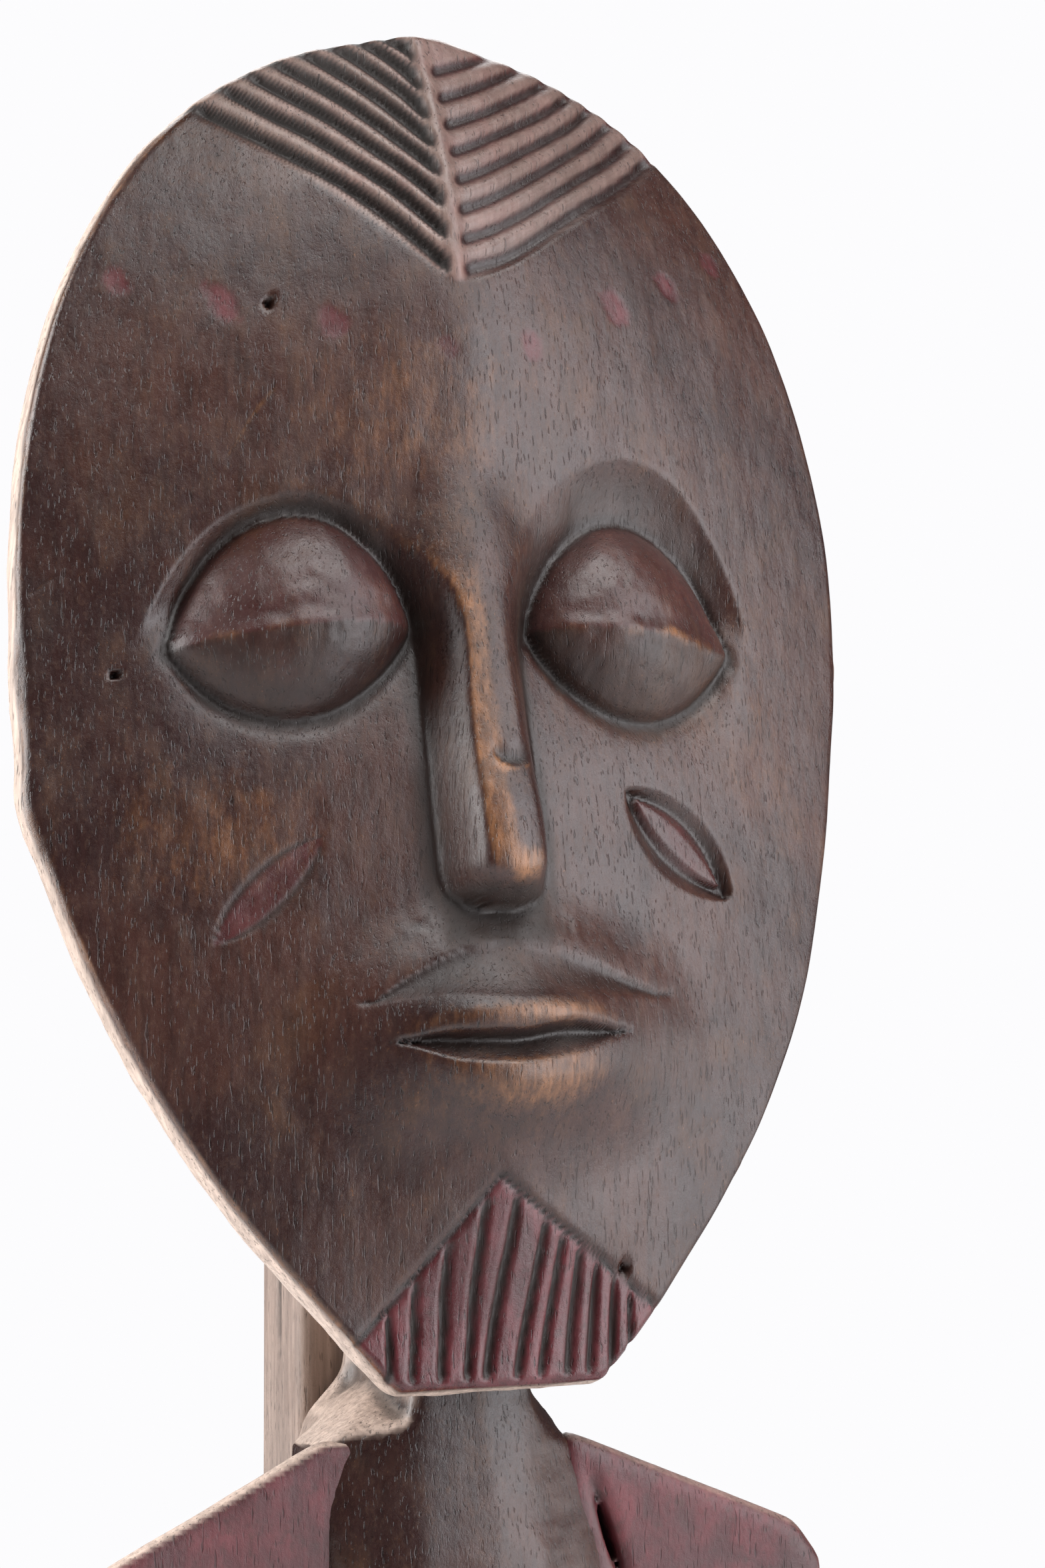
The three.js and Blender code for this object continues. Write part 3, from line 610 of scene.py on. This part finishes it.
def build_head(material):
    """The face as a grid bent into the outline, closed by loops down its edge and over its back."""
    columns, rows = 232, 336
    middle = 0.48 * HEAD_LENGTH
    across = spaced(columns, (0, 0.55, 0.5))
    upward = spaced(rows, (-0.45, 0.14, 0.8), (0.15, 0.2, 0.3), (0.75, 0.2, 0.5))
    a, b = np.meshgrid(across, upward)
    disc_x = a * np.sqrt(1 - b * b / 2)
    disc_y = b * np.sqrt(1 - a * a / 2)
    angle = np.arctan2(disc_y, disc_x).ravel()
    share = np.hypot(disc_x, disc_y).ravel()
    reach = outline_reach(angle, middle)
    x = share * reach * np.cos(angle)
    u = middle + share * reach * np.sin(angle)
    height, channels, hair_grooves = face(x, u)

    edge = (1 - share) * reach
    flat = sheet(x, u)
    height += 0.75 * hair_grooves * step(edge, 3.6, 0)
    rim_wear = 1.2 + 0.6 * noise(flat, 17.0, 40)
    inset = np.clip(rim_wear - edge, 0, None)
    height -= (rim_wear - np.sqrt(highest(rim_wear ** 2 - inset ** 2, 0)))
    channels["worn"] = highest(channels["worn"], 0.45 * step(edge, 1.2, 0.1) * step(x, 10, -30))
    front = head_place(x, u, height)

    # The edge band and the back, as loops that follow the outline.
    numbers = np.arange(rows * columns).reshape(rows, columns)
    loop = np.concatenate([numbers[0, :-1], numbers[:-1, -1], numbers[-1, :0:-1], numbers[:0:-1, 0]])
    count = len(loop)
    loop_x, loop_u, loop_n = x[loop], u[loop], height[loop]
    out_x, out_u = np.cos(angle[loop]), np.sin(angle[loop])
    bands, raws, wears = [], [], []
    for t in (0.06, 0.16, 0.32, 0.5, 0.68, 0.85, 0.96, 1.0):
        n = loop_n * (1 - t) - RIM * t
        spread = 0.8 * sin(min(t * 1.1, 1) * pi) - 0.9 * step(t, 0.9, 1.0)
        chips = together(loop_x, loop_u, n * 2)
        spread = spread + 0.5 * (scallops(chips, 12.0, 51) - 0.4) + 0.12 * layered(chips, 3.0, 52, 2)
        bands.append(head_place(loop_x + out_x * spread, loop_u + out_u * spread, n))
        raws.append(np.full(count, step(t, 0.02, 0.12)))
        wears.append(np.full(count, 0.35 * hump(t, 0, 0.1)))
    for t in (0.97, 0.9, 0.78, 0.64, 0.48, 0.3, 0.12):
        ring_x = loop_x * t
        ring_u = middle + (loop_u - middle) * t
        ring = together(ring_x, ring_u, ring_x * 0 + 9)
        gouge = 0.5 * (scallops(ring, (9.0, 22.0, 30.0), 61) - 0.5) * step(t, 1, 0.95)
        bands.append(head_place(ring_x, ring_u, -RIM + gouge * 0.8 + 0.25))
        raws.append(np.full(count, BACK_RAW))
        wears.append(np.zeros(count))
    hub = head_place(np.zeros(1), np.full(1, middle), np.full(1, -RIM + 0.2))
    points = np.concatenate([front] + bands + [hub])
    points[:, 2] = np.minimum(points[:, 2], head_high[2])
    later = rows * columns + np.arange(len(bands) * count).reshape(len(bands), count)
    rings = np.concatenate([loop[None, :], later])
    rings = np.concatenate([rings, rings[:, :1]], axis=1)
    corners = [rings[:-1, 1:], rings[:-1, :-1], rings[1:, :-1], rings[1:, 1:]]
    sides = np.stack(corners, axis=-1).reshape(-1, 4)
    last = rings[-1]
    tris = together(last[:-1], np.full(count, len(points) - 1), last[1:])
    quads = np.concatenate([grid_quads(rows, columns), sides])
    extra = len(bands) * count + 1
    full = {key: np.concatenate([channels[key], np.zeros(extra)]) for key in ("red", "soot", "unrubbed")}
    full["raw"] = np.concatenate([channels["raw"]] + raws + [[BACK_RAW]])
    full["worn"] = np.concatenate([channels["worn"]] + wears + [[0.0]])
    finish_piece(make_piece("carved_head", points, quads, tris, full), "head", material)


# ---- carved solids from the CAD nodes

def node_field(node, voxel, margin=6.0):
    """Signed distance to a CAD node's surface, negative inside, on a grid, and the grid's corner."""
    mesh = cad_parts[node].data
    mesh.calc_loop_triangles()
    points = np.empty(len(mesh.vertices) * 3, dtype=np.float32)
    mesh.vertices.foreach_get("co", points)
    tris = np.empty(len(mesh.loop_triangles) * 3, dtype=np.int32)
    mesh.loop_triangles.foreach_get("vertices", tris)
    low, high = box_mm(node)
    first = np.floor((low - margin) / voxel).astype(int)
    size = np.ceil((high + margin) / voxel).astype(int) - first + 1
    level_set = openvdb.FloatGrid.createLevelSetFromPolygons(
        points.reshape(-1, 3) / MM, triangles=tris.reshape(-1, 3).astype(np.uint32),
        transform=openvdb.createLinearTransform(voxel), halfWidth=margin / voxel)
    field = np.zeros(tuple(size), dtype=np.float32)
    level_set.copyToArray(field, ijk=tuple(int(v) for v in first))
    return field, first * voxel


def soften(field, passes):
    """Rounds a field's edges by averaging each cell with its neighbours."""
    for _ in range(passes):
        for axis in range(3):
            field = (np.roll(field, 1, axis) + 2 * field + np.roll(field, -1, axis)) / 4
    return field


def field_mesh(field, first, voxel):
    """The surface of a field as points in millimetres and quads that face out."""
    grid = openvdb.FloatGrid(float(field.max()))
    grid.copyFromArray(np.ascontiguousarray(field, dtype=np.float32))
    grid.transform = openvdb.createLinearTransform(voxel)
    points, quads = grid.convertToQuads(0.0)
    points = points.astype(float) + first
    quads = quads.astype(np.int64)
    if (points[quads[:, 0]] * quad_normals(points, quads)).sum() < 0:
        quads = quads[:, ::-1]
    return points, quads


def carve(name, node, material, voxel, marks, rounding=2, shape=None):
    """A carved piece: the CAD node's solid with its edges eased, reshaped, then tooled by marks()."""
    field, first = node_field(node, voxel)
    field = soften(field, rounding)
    if shape is not None:
        places = [first[i] + voxel * np.arange(field.shape[i]) for i in range(3)]
        field = soften(shape(field, *np.meshgrid(*places, indexing="ij", sparse=True)), 2)
    points, quads = field_mesh(field, first, voxel)
    normal, _ = normals_and_relief(points, quads, 1)
    amount, channels = marks(points, normal)
    points = points + normal * amount[:, None]
    low, high = box_mm(node)
    points = np.clip(points, low, high)
    finish_piece(make_piece(name, points, quads, None, channels), node, material)


def tooled(points, size, depth, seed):
    """Adze or knife facets cut into a surface, plus a little waviness."""
    dishes = scallops(points, size, seed) - 1
    return depth * dishes + 0.3 * depth * layered(points, size, seed + 5, 2)


def crack(across, along, width, depth, seed, points):
    """A drying crack that wanders along the grain and tapers at both ends."""
    wander = 1.1 * noise(points * (0.2, 0.2, 1), 22.0, seed) + 0.3 * noise(points, 4.0, seed + 1)
    taper = unit(1 - (2 * along - 1) ** 2) ** 0.5
    half = highest(width * taper / 2, 0.05)
    return depth * unit(1 - abs(across + wander) / half) * (taper > 0)


def channel_set(points, red=0.0, soot=0.0, worn=0.0, raw=0.0):
    """The paint channels of a piece, each as one number for every point."""
    blank = np.zeros(len(points))
    return {"red": blank + red, "soot": blank + soot, "worn": blank + worn, "raw": blank + raw}


NECK_Z = CHIN_Z - 12
FLANK_EDGE = 22.0  # the neck's right edge at that level
BOARD_LOW, BOARD_HIGH = box_mm("right_shoulder_arm")
LEG_LOW, LEG_HIGH = box_mm("right_leg")
COLUMN_FRONT = box_mm("torso_column")[0][1]
ARM_BOTTOM = box_mm("right_forearm")[0][2]
NAVEL_Z = 262.0
HIP_BANDS = (222.0, 214.0)


def shoulder_facet(x, y):
    """Level of the two sloping facets on top of the left shoulder, beside the neck."""
    beside_neck = NECK_Z + 3 + 0.125 * (x + 12) + 0.2 * (y + 19)
    outward = NECK_Z + 15.4 + 0.6 * x - 0.13 * y
    return np.minimum(beside_neck, outward)


def column_shape(field, x, y, z):
    """A rounder throat that fills out to the shoulders and covers the boards' inner ends, and a navel."""
    down = NECK_Z - z
    bow = np.where(x < 0, 0.009, 0.014) * x ** 2
    front = -21.4 + bow - 0.2 * np.clip(down, -8, 28) + 0.5 * np.clip(down - 28, 0, None)
    flare = NECK_Z - 3 + 8 * np.exp(-np.clip(x - 13.5, 0, None) / 3.5)
    top = np.where(x < -12, shoulder_facet(x, y), flare)
    throat = highest(-29.5 - x, x - FLANK_EDGE - 0.33 * down, front - y, y - 15 + 0.3 * abs(x),
                     0.7 * (-x - 26.5) + 0.7 * (-y - 19), 0.8 * (z - np.where(abs(x) < 12, CHIN_Z, top)))
    above = highest(shoulder_facet(x, y) - z, x + 12.5, y - 16)
    pared = highest(field, front - y - 8 * step(down, 18, 36) - 200 * step(down, 36, 60))
    field = smooth_min(highest(pared, -above), throat, 3.0)
    navel = np.sqrt(x ** 2 + (y - COLUMN_FRONT - 3) ** 2 + (z - NAVEL_Z) ** 2) - 6.5
    return smooth_min(field, navel, 4.0)


def column_marks(points, normal):
    """Gouge facets, two bands cut at the hips, fine creases on the neck and a bare shoulder."""
    x, y, z = points.T
    amount = tooled(points, (15, 15, 42), 0.75, 101)
    facet = step(x, -11, -13) * hump(z, shoulder_facet(x, y), 4) * step(normal[:, 2], 0.3, 0.65)
    behind = step(y, 8, 12)
    side_raw = step(z, NECK_Z + 4, NECK_Z + 14) * step(normal[:, 0], -0.4, -0.8) * step(x, -8, -11)
    band = sum(hump(z, level, 2.2) for level in HIP_BANDS)
    amount -= 1.0 * band * step(abs(y - 2), 60, 20)
    crackle = noise(points, (7.0, 7.0, 2.0), 103)
    on_neck = step(z, NECK_Z - 60, NECK_Z - 20) * step(y, -6, -14)
    creases = noise(points, (16.0, 16.0, 4.5), 104)
    amount -= on_neck * (0.22 * abs(crackle) + 0.25 * abs(creases))
    raw = highest(facet, side_raw, 0.55 * behind)
    return amount, channel_set(points, soot=0.7 * band, raw=raw, worn=0.25 * on_neck * hump(x, 0, 10))


def board_top(x):
    """Level of the board's sloping top; the left one starts higher and falls more steeply."""
    across = abs(x)
    right = BOARD_HIGH[2] - 0.43 * (across - BOARD_LOW[0])
    left = np.minimum(BOARD_HIGH[2], BOARD_HIGH[2] - 0.49 * (across - 29))
    return np.where(x < 0, left, right)


def board_shape(field, x, y, z):
    """Raises the left board's shoulder, thins both tops from behind, and opens a slit beside the neck."""
    top = board_top(x)
    wedge = highest(z - top, BOARD_HIGH[2] - 26 - z, abs(x) - 72, 21 - abs(x),
                    BOARD_LOW[1] - y, y - BOARD_HIGH[1])
    field = np.where(x < 0, smooth_min(field, wedge, 1.0), field)
    taper = unit(1 - ((NECK_Z - 22 - z) / 14) ** 2) ** 0.5
    slit = abs(x - FLANK_EDGE - 0.8 - 0.33 * (NECK_Z - z)) - 1.3 * taper + 0.3
    slit = highest(slit, y - BOARD_LOW[1] - 8)
    return highest(field, -slit, 0.77 * (y - BOARD_LOW[1] - 4.5) + 0.58 * (z - top))


def board_marks(points, normal):
    """Red glazed boards: long shallow facets, a pale rubbed top edge, rubbed outer ends and bare backs."""
    x, _, z = points.T
    amount = tooled(points, (16, 12, 34), 0.42, 131)
    up = step(normal[:, 2], 0.35, 0.8) * step(z, BOARD_LOW[2] + 90, BOARD_LOW[2] + 130)
    outer = step(abs(normal[:, 0]), 0.7, 0.95) * step(abs(x), BOARD_HIGH[0] - 8, BOARD_HIGH[0] - 3)
    pale = highest(up * (0.3 + 0.65 * (x < 0)), 0.3 * outer)
    back = step(normal[:, 1], 0.5, 0.9)
    raw = highest(pale, 0.5 * back)
    return amount, channel_set(points, red=1 - 0.9 * back, raw=raw, worn=0.3 * outer)


def forearm_marks(points, normal):
    """Thin knife facets, a wristband, and a mitten hand cut into four fingers."""
    x, _, z = points.T
    amount = tooled(points, (9, 9, 9), 0.5, 151)
    side = abs(x)
    line = ARM_BOTTOM + 12 + 0.28 * (64 - side)
    on_hand = step(side, 30, 26)
    fingers = sum(v_cut(z - line - gap, 2.4) for gap in (-4.6, 0.2, 5.0)) * step(side, 25, 21)
    wrist = hump(side, 31, 1.6) + hump(side, 35.5, 1.6)
    amount = amount - 1.5 * fingers - 0.7 * wrist
    soot = unit(0.85 * fingers + 0.8 * wrist)
    return amount, channel_set(points, red=0.85 * (1 - on_hand), soot=soot, worn=0.3 * on_hand)


def leg_marks(points, normal):
    """Adze facets, ankle rings, and toes cut in the front of the foot."""
    x, y, z = points.T
    amount = tooled(points, (12, 12, 24), 0.7, 171)
    back = y - LEG_LOW[1]
    up = z - LEG_LOW[2]
    middle = (LEG_LOW[0] + LEG_HIGH[0]) / 2 + 2.3
    toes = sum(v_cut(abs(x) - middle - gap, 3.0) for gap in (-10.5, -3.8, 3.0, 9.8))
    toes = toes * step(back, 24, 17) * step(up, 34, 26)
    rings = (hump(up, 34, 1.5) + hump(up, 39.5, 1.5)) * step(back, 16, 24)
    soot = unit(0.9 * toes + 0.7 * rings)
    return amount - 2.2 * toes - 0.8 * rings, channel_set(points, soot=soot, worn=0.2 * step(up, 30, 0))


def post_marks(points, normal):
    """Long scraper facets, three drying cracks down the grain, and a darker left side, which is painted
    shade.
    """
    x, y, z = points.T
    facing_y = step(abs(normal[:, 1]), 0.4, 0.8)
    facing_x = step(abs(normal[:, 0]), 0.4, 0.8)
    amount = tooled(points, (17, 17, 120), 0.55, 191) + 0.12 * noise(points, (1.3, 1.3, 60.0), 193)
    split = crack(x - 7, (z - 380) / 300, 1.6, 2.4, 195, points) * facing_y
    split += crack(x + 11, (z - 60) / 210, 1.3, 2.0, 197, points) * facing_y
    split += crack(y - 33, (z - 480) / 210, 1.2, 1.8, 199, points) * facing_x
    # Faces turned to the left get half the pale bare tone: a painted shade on the post's left side.
    raw = 0.9 - 0.45 * step(-normal[:, 0], 0.5, 0.9)
    return amount - split, channel_set(points, raw=raw, soot=step(split, 0.2, 1.2))


def plinth_marks(points, normal):
    """Broad adze cuts, chipped lower edges and cracks in the end grain."""
    x, y, z = points.T
    top = step(normal[:, 2], 0.5, 0.9)
    amount = tooled(points, (24, 30, 22), 1.1, 211) * (1 - 0.35 * top)
    split = crack(y + 22, (x + 88) / 110, 1.7, 2.6, 213, points[:, [1, 2, 0]]) * top
    split += crack(y - 38, (x - 8) / 84, 1.4, 2.2, 215, points[:, [1, 2, 0]]) * top
    chips = 0.8 * step(z, 9, 2) * step(scallops(points, 9.0, 217), 0.6, 0.25)
    under = step(normal[:, 2], -0.5, -0.9)
    amount = (amount - split - chips) * (1 - under)
    return amount, channel_set(points, soot=step(split, 0.3, 1.4), raw=0.5 * under)


def peg_marks(points, normal):
    """Small whittled facets all over."""
    return tooled(points, (4, 9, 9), 0.18, 231), channel_set(points, raw=0.95)


def build_body(woods):
    """Every piece but the head."""
    figure, glazed = woods["figure"], woods["glazed"]
    carve("carved_torso_column", "torso_column", figure, 1.15,
          column_marks, 2, column_shape)
    for side in ("left", "right"):
        carve(f"{side}_carved_board", f"{side}_shoulder_arm", glazed, 0.95,
              board_marks, 4, board_shape)
        carve(f"{side}_carved_forearm", f"{side}_forearm", glazed, 0.7, forearm_marks)
        carve(f"{side}_carved_leg", f"{side}_leg", figure, 0.9, leg_marks, 3)
    carve("adzed_back_post", "back_post", woods["post"], 1.5, post_marks, 1)
    carve("adzed_plinth", "plinth", woods["plinth"], 1.3, plinth_marks)
    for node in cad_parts:
        if "_peg" in node:
            carve(f"whittled_{node}", node, woods["peg"], 0.6, peg_marks, 1)


# ---- materials

class Shader:
    """Short names for the nodes that the wood materials are made of."""

    def __init__(self, name):
        self.material = bpy.data.materials.new(name)
        self.material.use_nodes = True
        self.nodes = self.material.node_tree.nodes
        self.links = self.material.node_tree.links
        self.bsdf = self.nodes["Principled BSDF"]
        self.place = self.nodes.new("ShaderNodeTexCoord").outputs["Object"]

    def feed(self, socket, value):
        if hasattr(value, "is_output"):
            self.links.new(value, socket)
        elif isinstance(value, (tuple, list)) and len(value) == 3 and len(socket.default_value) == 4:
            socket.default_value = (*value, 1)
        else:
            socket.default_value = value

    def noise(self, size_mm, detail=2.0, stretch=(1, 1, 1), rough=0.5, twist=0.0):
        mapping = self.nodes.new("ShaderNodeMapping")
        mapping.inputs["Scale"].default_value = stretch
        self.links.new(self.place, mapping.inputs["Vector"])
        node = self.nodes.new("ShaderNodeTexNoise")
        self.links.new(mapping.outputs["Vector"], node.inputs["Vector"])
        settings = {"Scale": 1 / (size_mm * MM), "Detail": detail, "Roughness": rough, "Distortion": twist}
        for socket, number in settings.items():
            node.inputs[socket].default_value = number
        return node.outputs["Fac"]

    def channel(self, name):
        node = self.nodes.new("ShaderNodeAttribute")
        node.attribute_name = name
        return node.outputs["Fac"]

    def math(self, operation, a, b=0.0, clamp=False):
        node = self.nodes.new("ShaderNodeMath")
        node.operation = operation
        node.use_clamp = clamp
        self.feed(node.inputs[0], a)
        self.feed(node.inputs[1], b)
        return node.outputs[0]

    def times(self, a, b, clamp=False):
        return self.math("MULTIPLY", a, b, clamp)

    def plus(self, a, b, clamp=False):
        return self.math("ADD", a, b, clamp)

    def span(self, value, low, high, to_low=0.0, to_high=1.0):
        node = self.nodes.new("ShaderNodeMapRange")
        node.interpolation_type = "SMOOTHSTEP"
        for socket, number in zip(node.inputs[1:5], (low, high, to_low, to_high)):
            socket.default_value = number
        self.feed(node.inputs[0], value)
        return node.outputs[0]

    def mix(self, share, a, b):
        node = self.nodes.new("ShaderNodeMix")
        node.data_type = "RGBA"
        self.feed(node.inputs["Factor"], share)
        self.feed(node.inputs[6], a)
        self.feed(node.inputs[7], b)
        return node.outputs[2]

    def bump(self, height, depth_mm, strength=1.0, normal=None):
        node = self.nodes.new("ShaderNodeBump")
        node.inputs["Strength"].default_value = strength
        node.inputs["Distance"].default_value = depth_mm * MM
        self.feed(node.inputs["Height"], height)
        if normal is not None:
            self.links.new(normal, node.inputs["Normal"])
        return node.outputs["Normal"]


def shade(colour, factor):
    return tuple(c * factor for c in colour)


DARK = (0.021, 0.0088, 0.0078)
LIGHT = (0.041, 0.0168, 0.0125)
RED = (0.098, 0.021, 0.025)
WORN = (0.235, 0.105, 0.045)
RAW = (0.50, 0.385, 0.32)
POST_RAW = (0.50, 0.38, 0.315)
PEG_RAW = (0.34, 0.225, 0.15)
# Colour of soot, also used for painted shade.
SOOT_AND_SHADE = (0.010, 0.0062, 0.0045)


def carved_wood(name, dark=DARK, light=LIGHT, raw=RAW, gloss=0.5, rubbed=0.14):
    """Stained wood with glaze, soot, wear and raw wood laid on by the mesh's channels, with painted shade in
    the hollows and cuts and under the nose.
    """
    s = Shader(name)
    broad = s.noise(38, 4, rough=0.6)
    patch = s.noise(24, 5, stretch=(1, 1, 0.7), rough=0.62, twist=0.4)
    cloud = s.noise(8, 4, stretch=(1, 1, 0.55), rough=0.65)
    streak = s.noise(1.4, 3, stretch=(1, 1, 0.06), rough=0.6)
    pores = s.noise(0.5, 1.5, stretch=(1, 1, 0.13))
    fleck = s.noise(0.3, 1, stretch=(1, 1, 0.4))
    fine = s.noise(0.16, 3)
    scuff = s.noise(1.1, 5, stretch=(1, 1, 0.8), rough=0.75)

    def lay(base, pattern, low, high, amount, tint):
        return s.mix(s.times(s.span(pattern, low, high), amount), base, tint)

    stain = s.mix(s.span(broad, 0.38, 0.66), dark, light)
    stain = lay(stain, patch, 0.54, 0.74, 0.34, shade(WORN, 0.34))
    stain = lay(stain, cloud, 0.5, 0.75, 0.3, shade(WORN, 0.34))
    stain = lay(stain, scuff, 0.5, 0.68, 0.22, shade(WORN, 0.32))
    stain = lay(stain, patch, 0.46, 0.3, 0.5, shade(dark, 0.5))
    stain = lay(stain, streak, 0.4, 0.72, 0.45, shade(dark, 0.45))
    specks = s.times(s.span(fleck, 0.68, 0.76), s.span(cloud, 0.45, 0.7, 0.05, 0.45))
    stain = s.mix(specks, stain, shade(WORN, 0.8))

    glaze = s.mix(s.span(cloud, 0.38, 0.68), shade(RED, 0.5), RED)
    glaze = lay(glaze, patch, 0.4, 0.66, 0.5, shade(dark, 1.2))
    glaze = lay(glaze, streak, 0.5, 0.75, 0.3, shade(RED, 1.4))
    uneven = s.span(s.noise(2.6, 4, rough=0.7), 0.3, 0.5, 0.5, 1.0)
    colour = s.mix(s.times(s.channel("red"), uneven, True), stain, glaze)

    uneven = s.times(s.noise(2.6, 5, stretch=(1, 1, 0.5), rough=0.75), 0.8)
    worn_at = s.plus(s.plus(s.channel("worn"), uneven), s.times(s.channel("crest"), rubbed))
    worn_tone = s.mix(s.span(streak, 0.35, 0.65), WORN, shade(WORN, 0.5))
    colour = lay(colour, worn_at, 0.62, 1.35, 0.85, worn_tone)

    raw_tone = s.mix(s.span(streak, 0.3, 0.7), shade(raw, 0.62), raw)
    raw_tone = lay(raw_tone, patch, 0.45, 0.75, 0.7, shade(raw, 0.5))
    raw_tone = lay(raw_tone, scuff, 0.55, 0.75, 0.4, shade(raw, 0.35))
    colour = s.mix(s.channel("raw"), colour, raw_tone)

    pits = s.times(s.span(pores, 0.4, 0.3), s.span(broad, 0.3, 0.55, 1.0, 0.6))
    colour = s.mix(s.times(pits, 0.75), colour, shade(dark, 0.2))
    # Darker in the hollows: a painted shade.
    colour = s.mix(s.times(s.channel("hollow_shade"), 0.75), colour, shade(dark, 0.3))
    # Soot, and the painted shade that shares its channel, darken towards one sooty colour.
    soot = s.times(s.channel("soot"), s.span(cloud, 0.3, 0.55, 0.75, 1.0), True)
    s.feed(s.bsdf.inputs["Base Color"], s.mix(soot, colour, SOOT_AND_SHADE))

    rough = s.plus(s.span(cloud, 0.35, 0.7, gloss - 0.07, gloss + 0.05), s.times(soot, 0.28))
    rough = s.plus(rough, s.span(scuff, 0.4, 0.75, 0.0, 0.12))
    s.feed(s.bsdf.inputs["Roughness"], s.plus(rough, s.times(s.channel("raw"), 0.26), True))
    s.bsdf.inputs["Specular IOR Level"].default_value = 0.38

    surface = s.bump(fine, 0.045, 0.6)
    surface = s.bump(streak, 0.05, 0.5, surface)
    surface = s.bump(s.span(pores, 0.28, 0.4), 0.08, 0.7, surface)
    surface = s.bump(scuff, 0.15, 0.6, surface)
    s.feed(s.bsdf.inputs["Normal"], s.bump(cloud, 0.35, 0.6, surface))
    return s.material


woods = {
    "figure": carved_wood("dark_stained_carving", gloss=0.29),
    "glazed": carved_wood("red_glazed_board", gloss=0.4, rubbed=0.25),
    "post": carved_wood("straight_grained_post", raw=POST_RAW),
    "plinth": carved_wood("adzed_plinth_wood", shade(DARK, 1.3), shade(LIGHT, 1.2)),
    "peg": carved_wood("whittled_peg_wood", raw=PEG_RAW),
}


# ---- pieces

build_head(woods["figure"])
build_body(woods)


# ---- floor, light and camera

def floor():
    """A round pale floor, small enough to stay out of the photograph's view of the head."""
    bpy.ops.mesh.primitive_circle_add(vertices=96, radius=1.6, fill_type="NGON", location=(0, 0, 0))
    disc = bpy.context.object
    disc.name = "floor"
    s = Shader("pale_floor")
    s.feed(s.bsdf.inputs["Base Color"], s.mix(s.noise(60, 3), (0.78, 0.78, 0.79), (0.82, 0.82, 0.83)))
    s.bsdf.inputs["Roughness"].default_value = 0.85
    disc.data.materials.append(s.material)


HEAD_MIDDLE = Vector((0, CHIN_Y + 20, CHIN_Z + HEAD_LENGTH / 2)) * MM


def softbox(name, azimuth, elevation, distance, width, height, power, target=HEAD_MIDDLE, tint=(1, 1, 1)):
    """An area light aimed at target. Azimuth 0 is in front of the figure, 90 at the viewer's right."""
    light = bpy.data.lights.new(name, "AREA")
    light.shape = "RECTANGLE"
    light.size, light.size_y = width, height
    light.energy = power
    light.color = tint
    a, e = radians(azimuth), radians(elevation)
    offset = Vector((sin(a) * cos(e), -cos(a) * cos(e), sin(e))) * distance
    lamp = bpy.data.objects.new(name, light)
    lamp.location = target + offset
    lamp.rotation_euler = (-offset).to_track_quat("-Z", "Y").to_euler()
    scene.collection.objects.link(lamp)


def studio():
    """Five softboxes, and a world that looks near white to the camera but lights the figure only dimly."""
    softbox("right_softbox", 39, 9, 1.5, 1.25, 1.6, 42, tint=(0.96, 0.965, 1.0))
    softbox("left_softbox", -109, 12, 1.4, 0.9, 1.5, 52)
    softbox("top_softbox", 12, 62, 1.5, 1.3, 0.9, 29)
    softbox("back_softbox", 165, 30, 2.0, 1.4, 1.4, 22)
    softbox("base_softbox", 78, 3, 2.0, 1.2, 0.7, 9, Vector((0, 0, 0.15)))
    world = bpy.data.worlds.new("studio")
    scene.world = world
    world.use_nodes = True
    nodes, links = world.node_tree.nodes, world.node_tree.links
    seen = nodes["Background"]
    seen.inputs["Color"].default_value = (0.975, 0.972, 0.985, 1)
    dim = nodes.new("ShaderNodeBackground")
    dim.inputs["Color"].default_value = (0.92, 0.95, 1.0, 1)
    dim.inputs["Strength"].default_value = 0.07
    path = nodes.new("ShaderNodeLightPath")
    mix = nodes.new("ShaderNodeMixShader")
    links.new(path.outputs["Is Camera Ray"], mix.inputs["Fac"])
    links.new(dim.outputs["Background"], mix.inputs[1])
    links.new(seen.outputs["Background"], mix.inputs[2])
    links.new(mix.outputs["Shader"], nodes["World Output"].inputs["Surface"])
    scene.view_settings.view_transform = "Standard"


CAMERA_FROM_CHIN = (-256.1, -642.9, 112.4)
CAMERA_TURN = radians(22)


def camera():
    """A long lens, level with the cheeks, a little round to the viewer's left."""
    data = bpy.data.cameras.new("camera")
    data.sensor_fit = "VERTICAL"
    data.sensor_height = 36
    data.lens = 85
    data.clip_start = 0.05
    view = bpy.data.objects.new("camera", data)
    view.location = (Vector((0, CHIN_Y, CHIN_Z)) + Vector(CAMERA_FROM_CHIN)) * MM
    view.rotation_euler = (pi / 2, 0, -CAMERA_TURN)
    scene.collection.objects.link(view)
    scene.camera = view


floor()
studio()
camera()
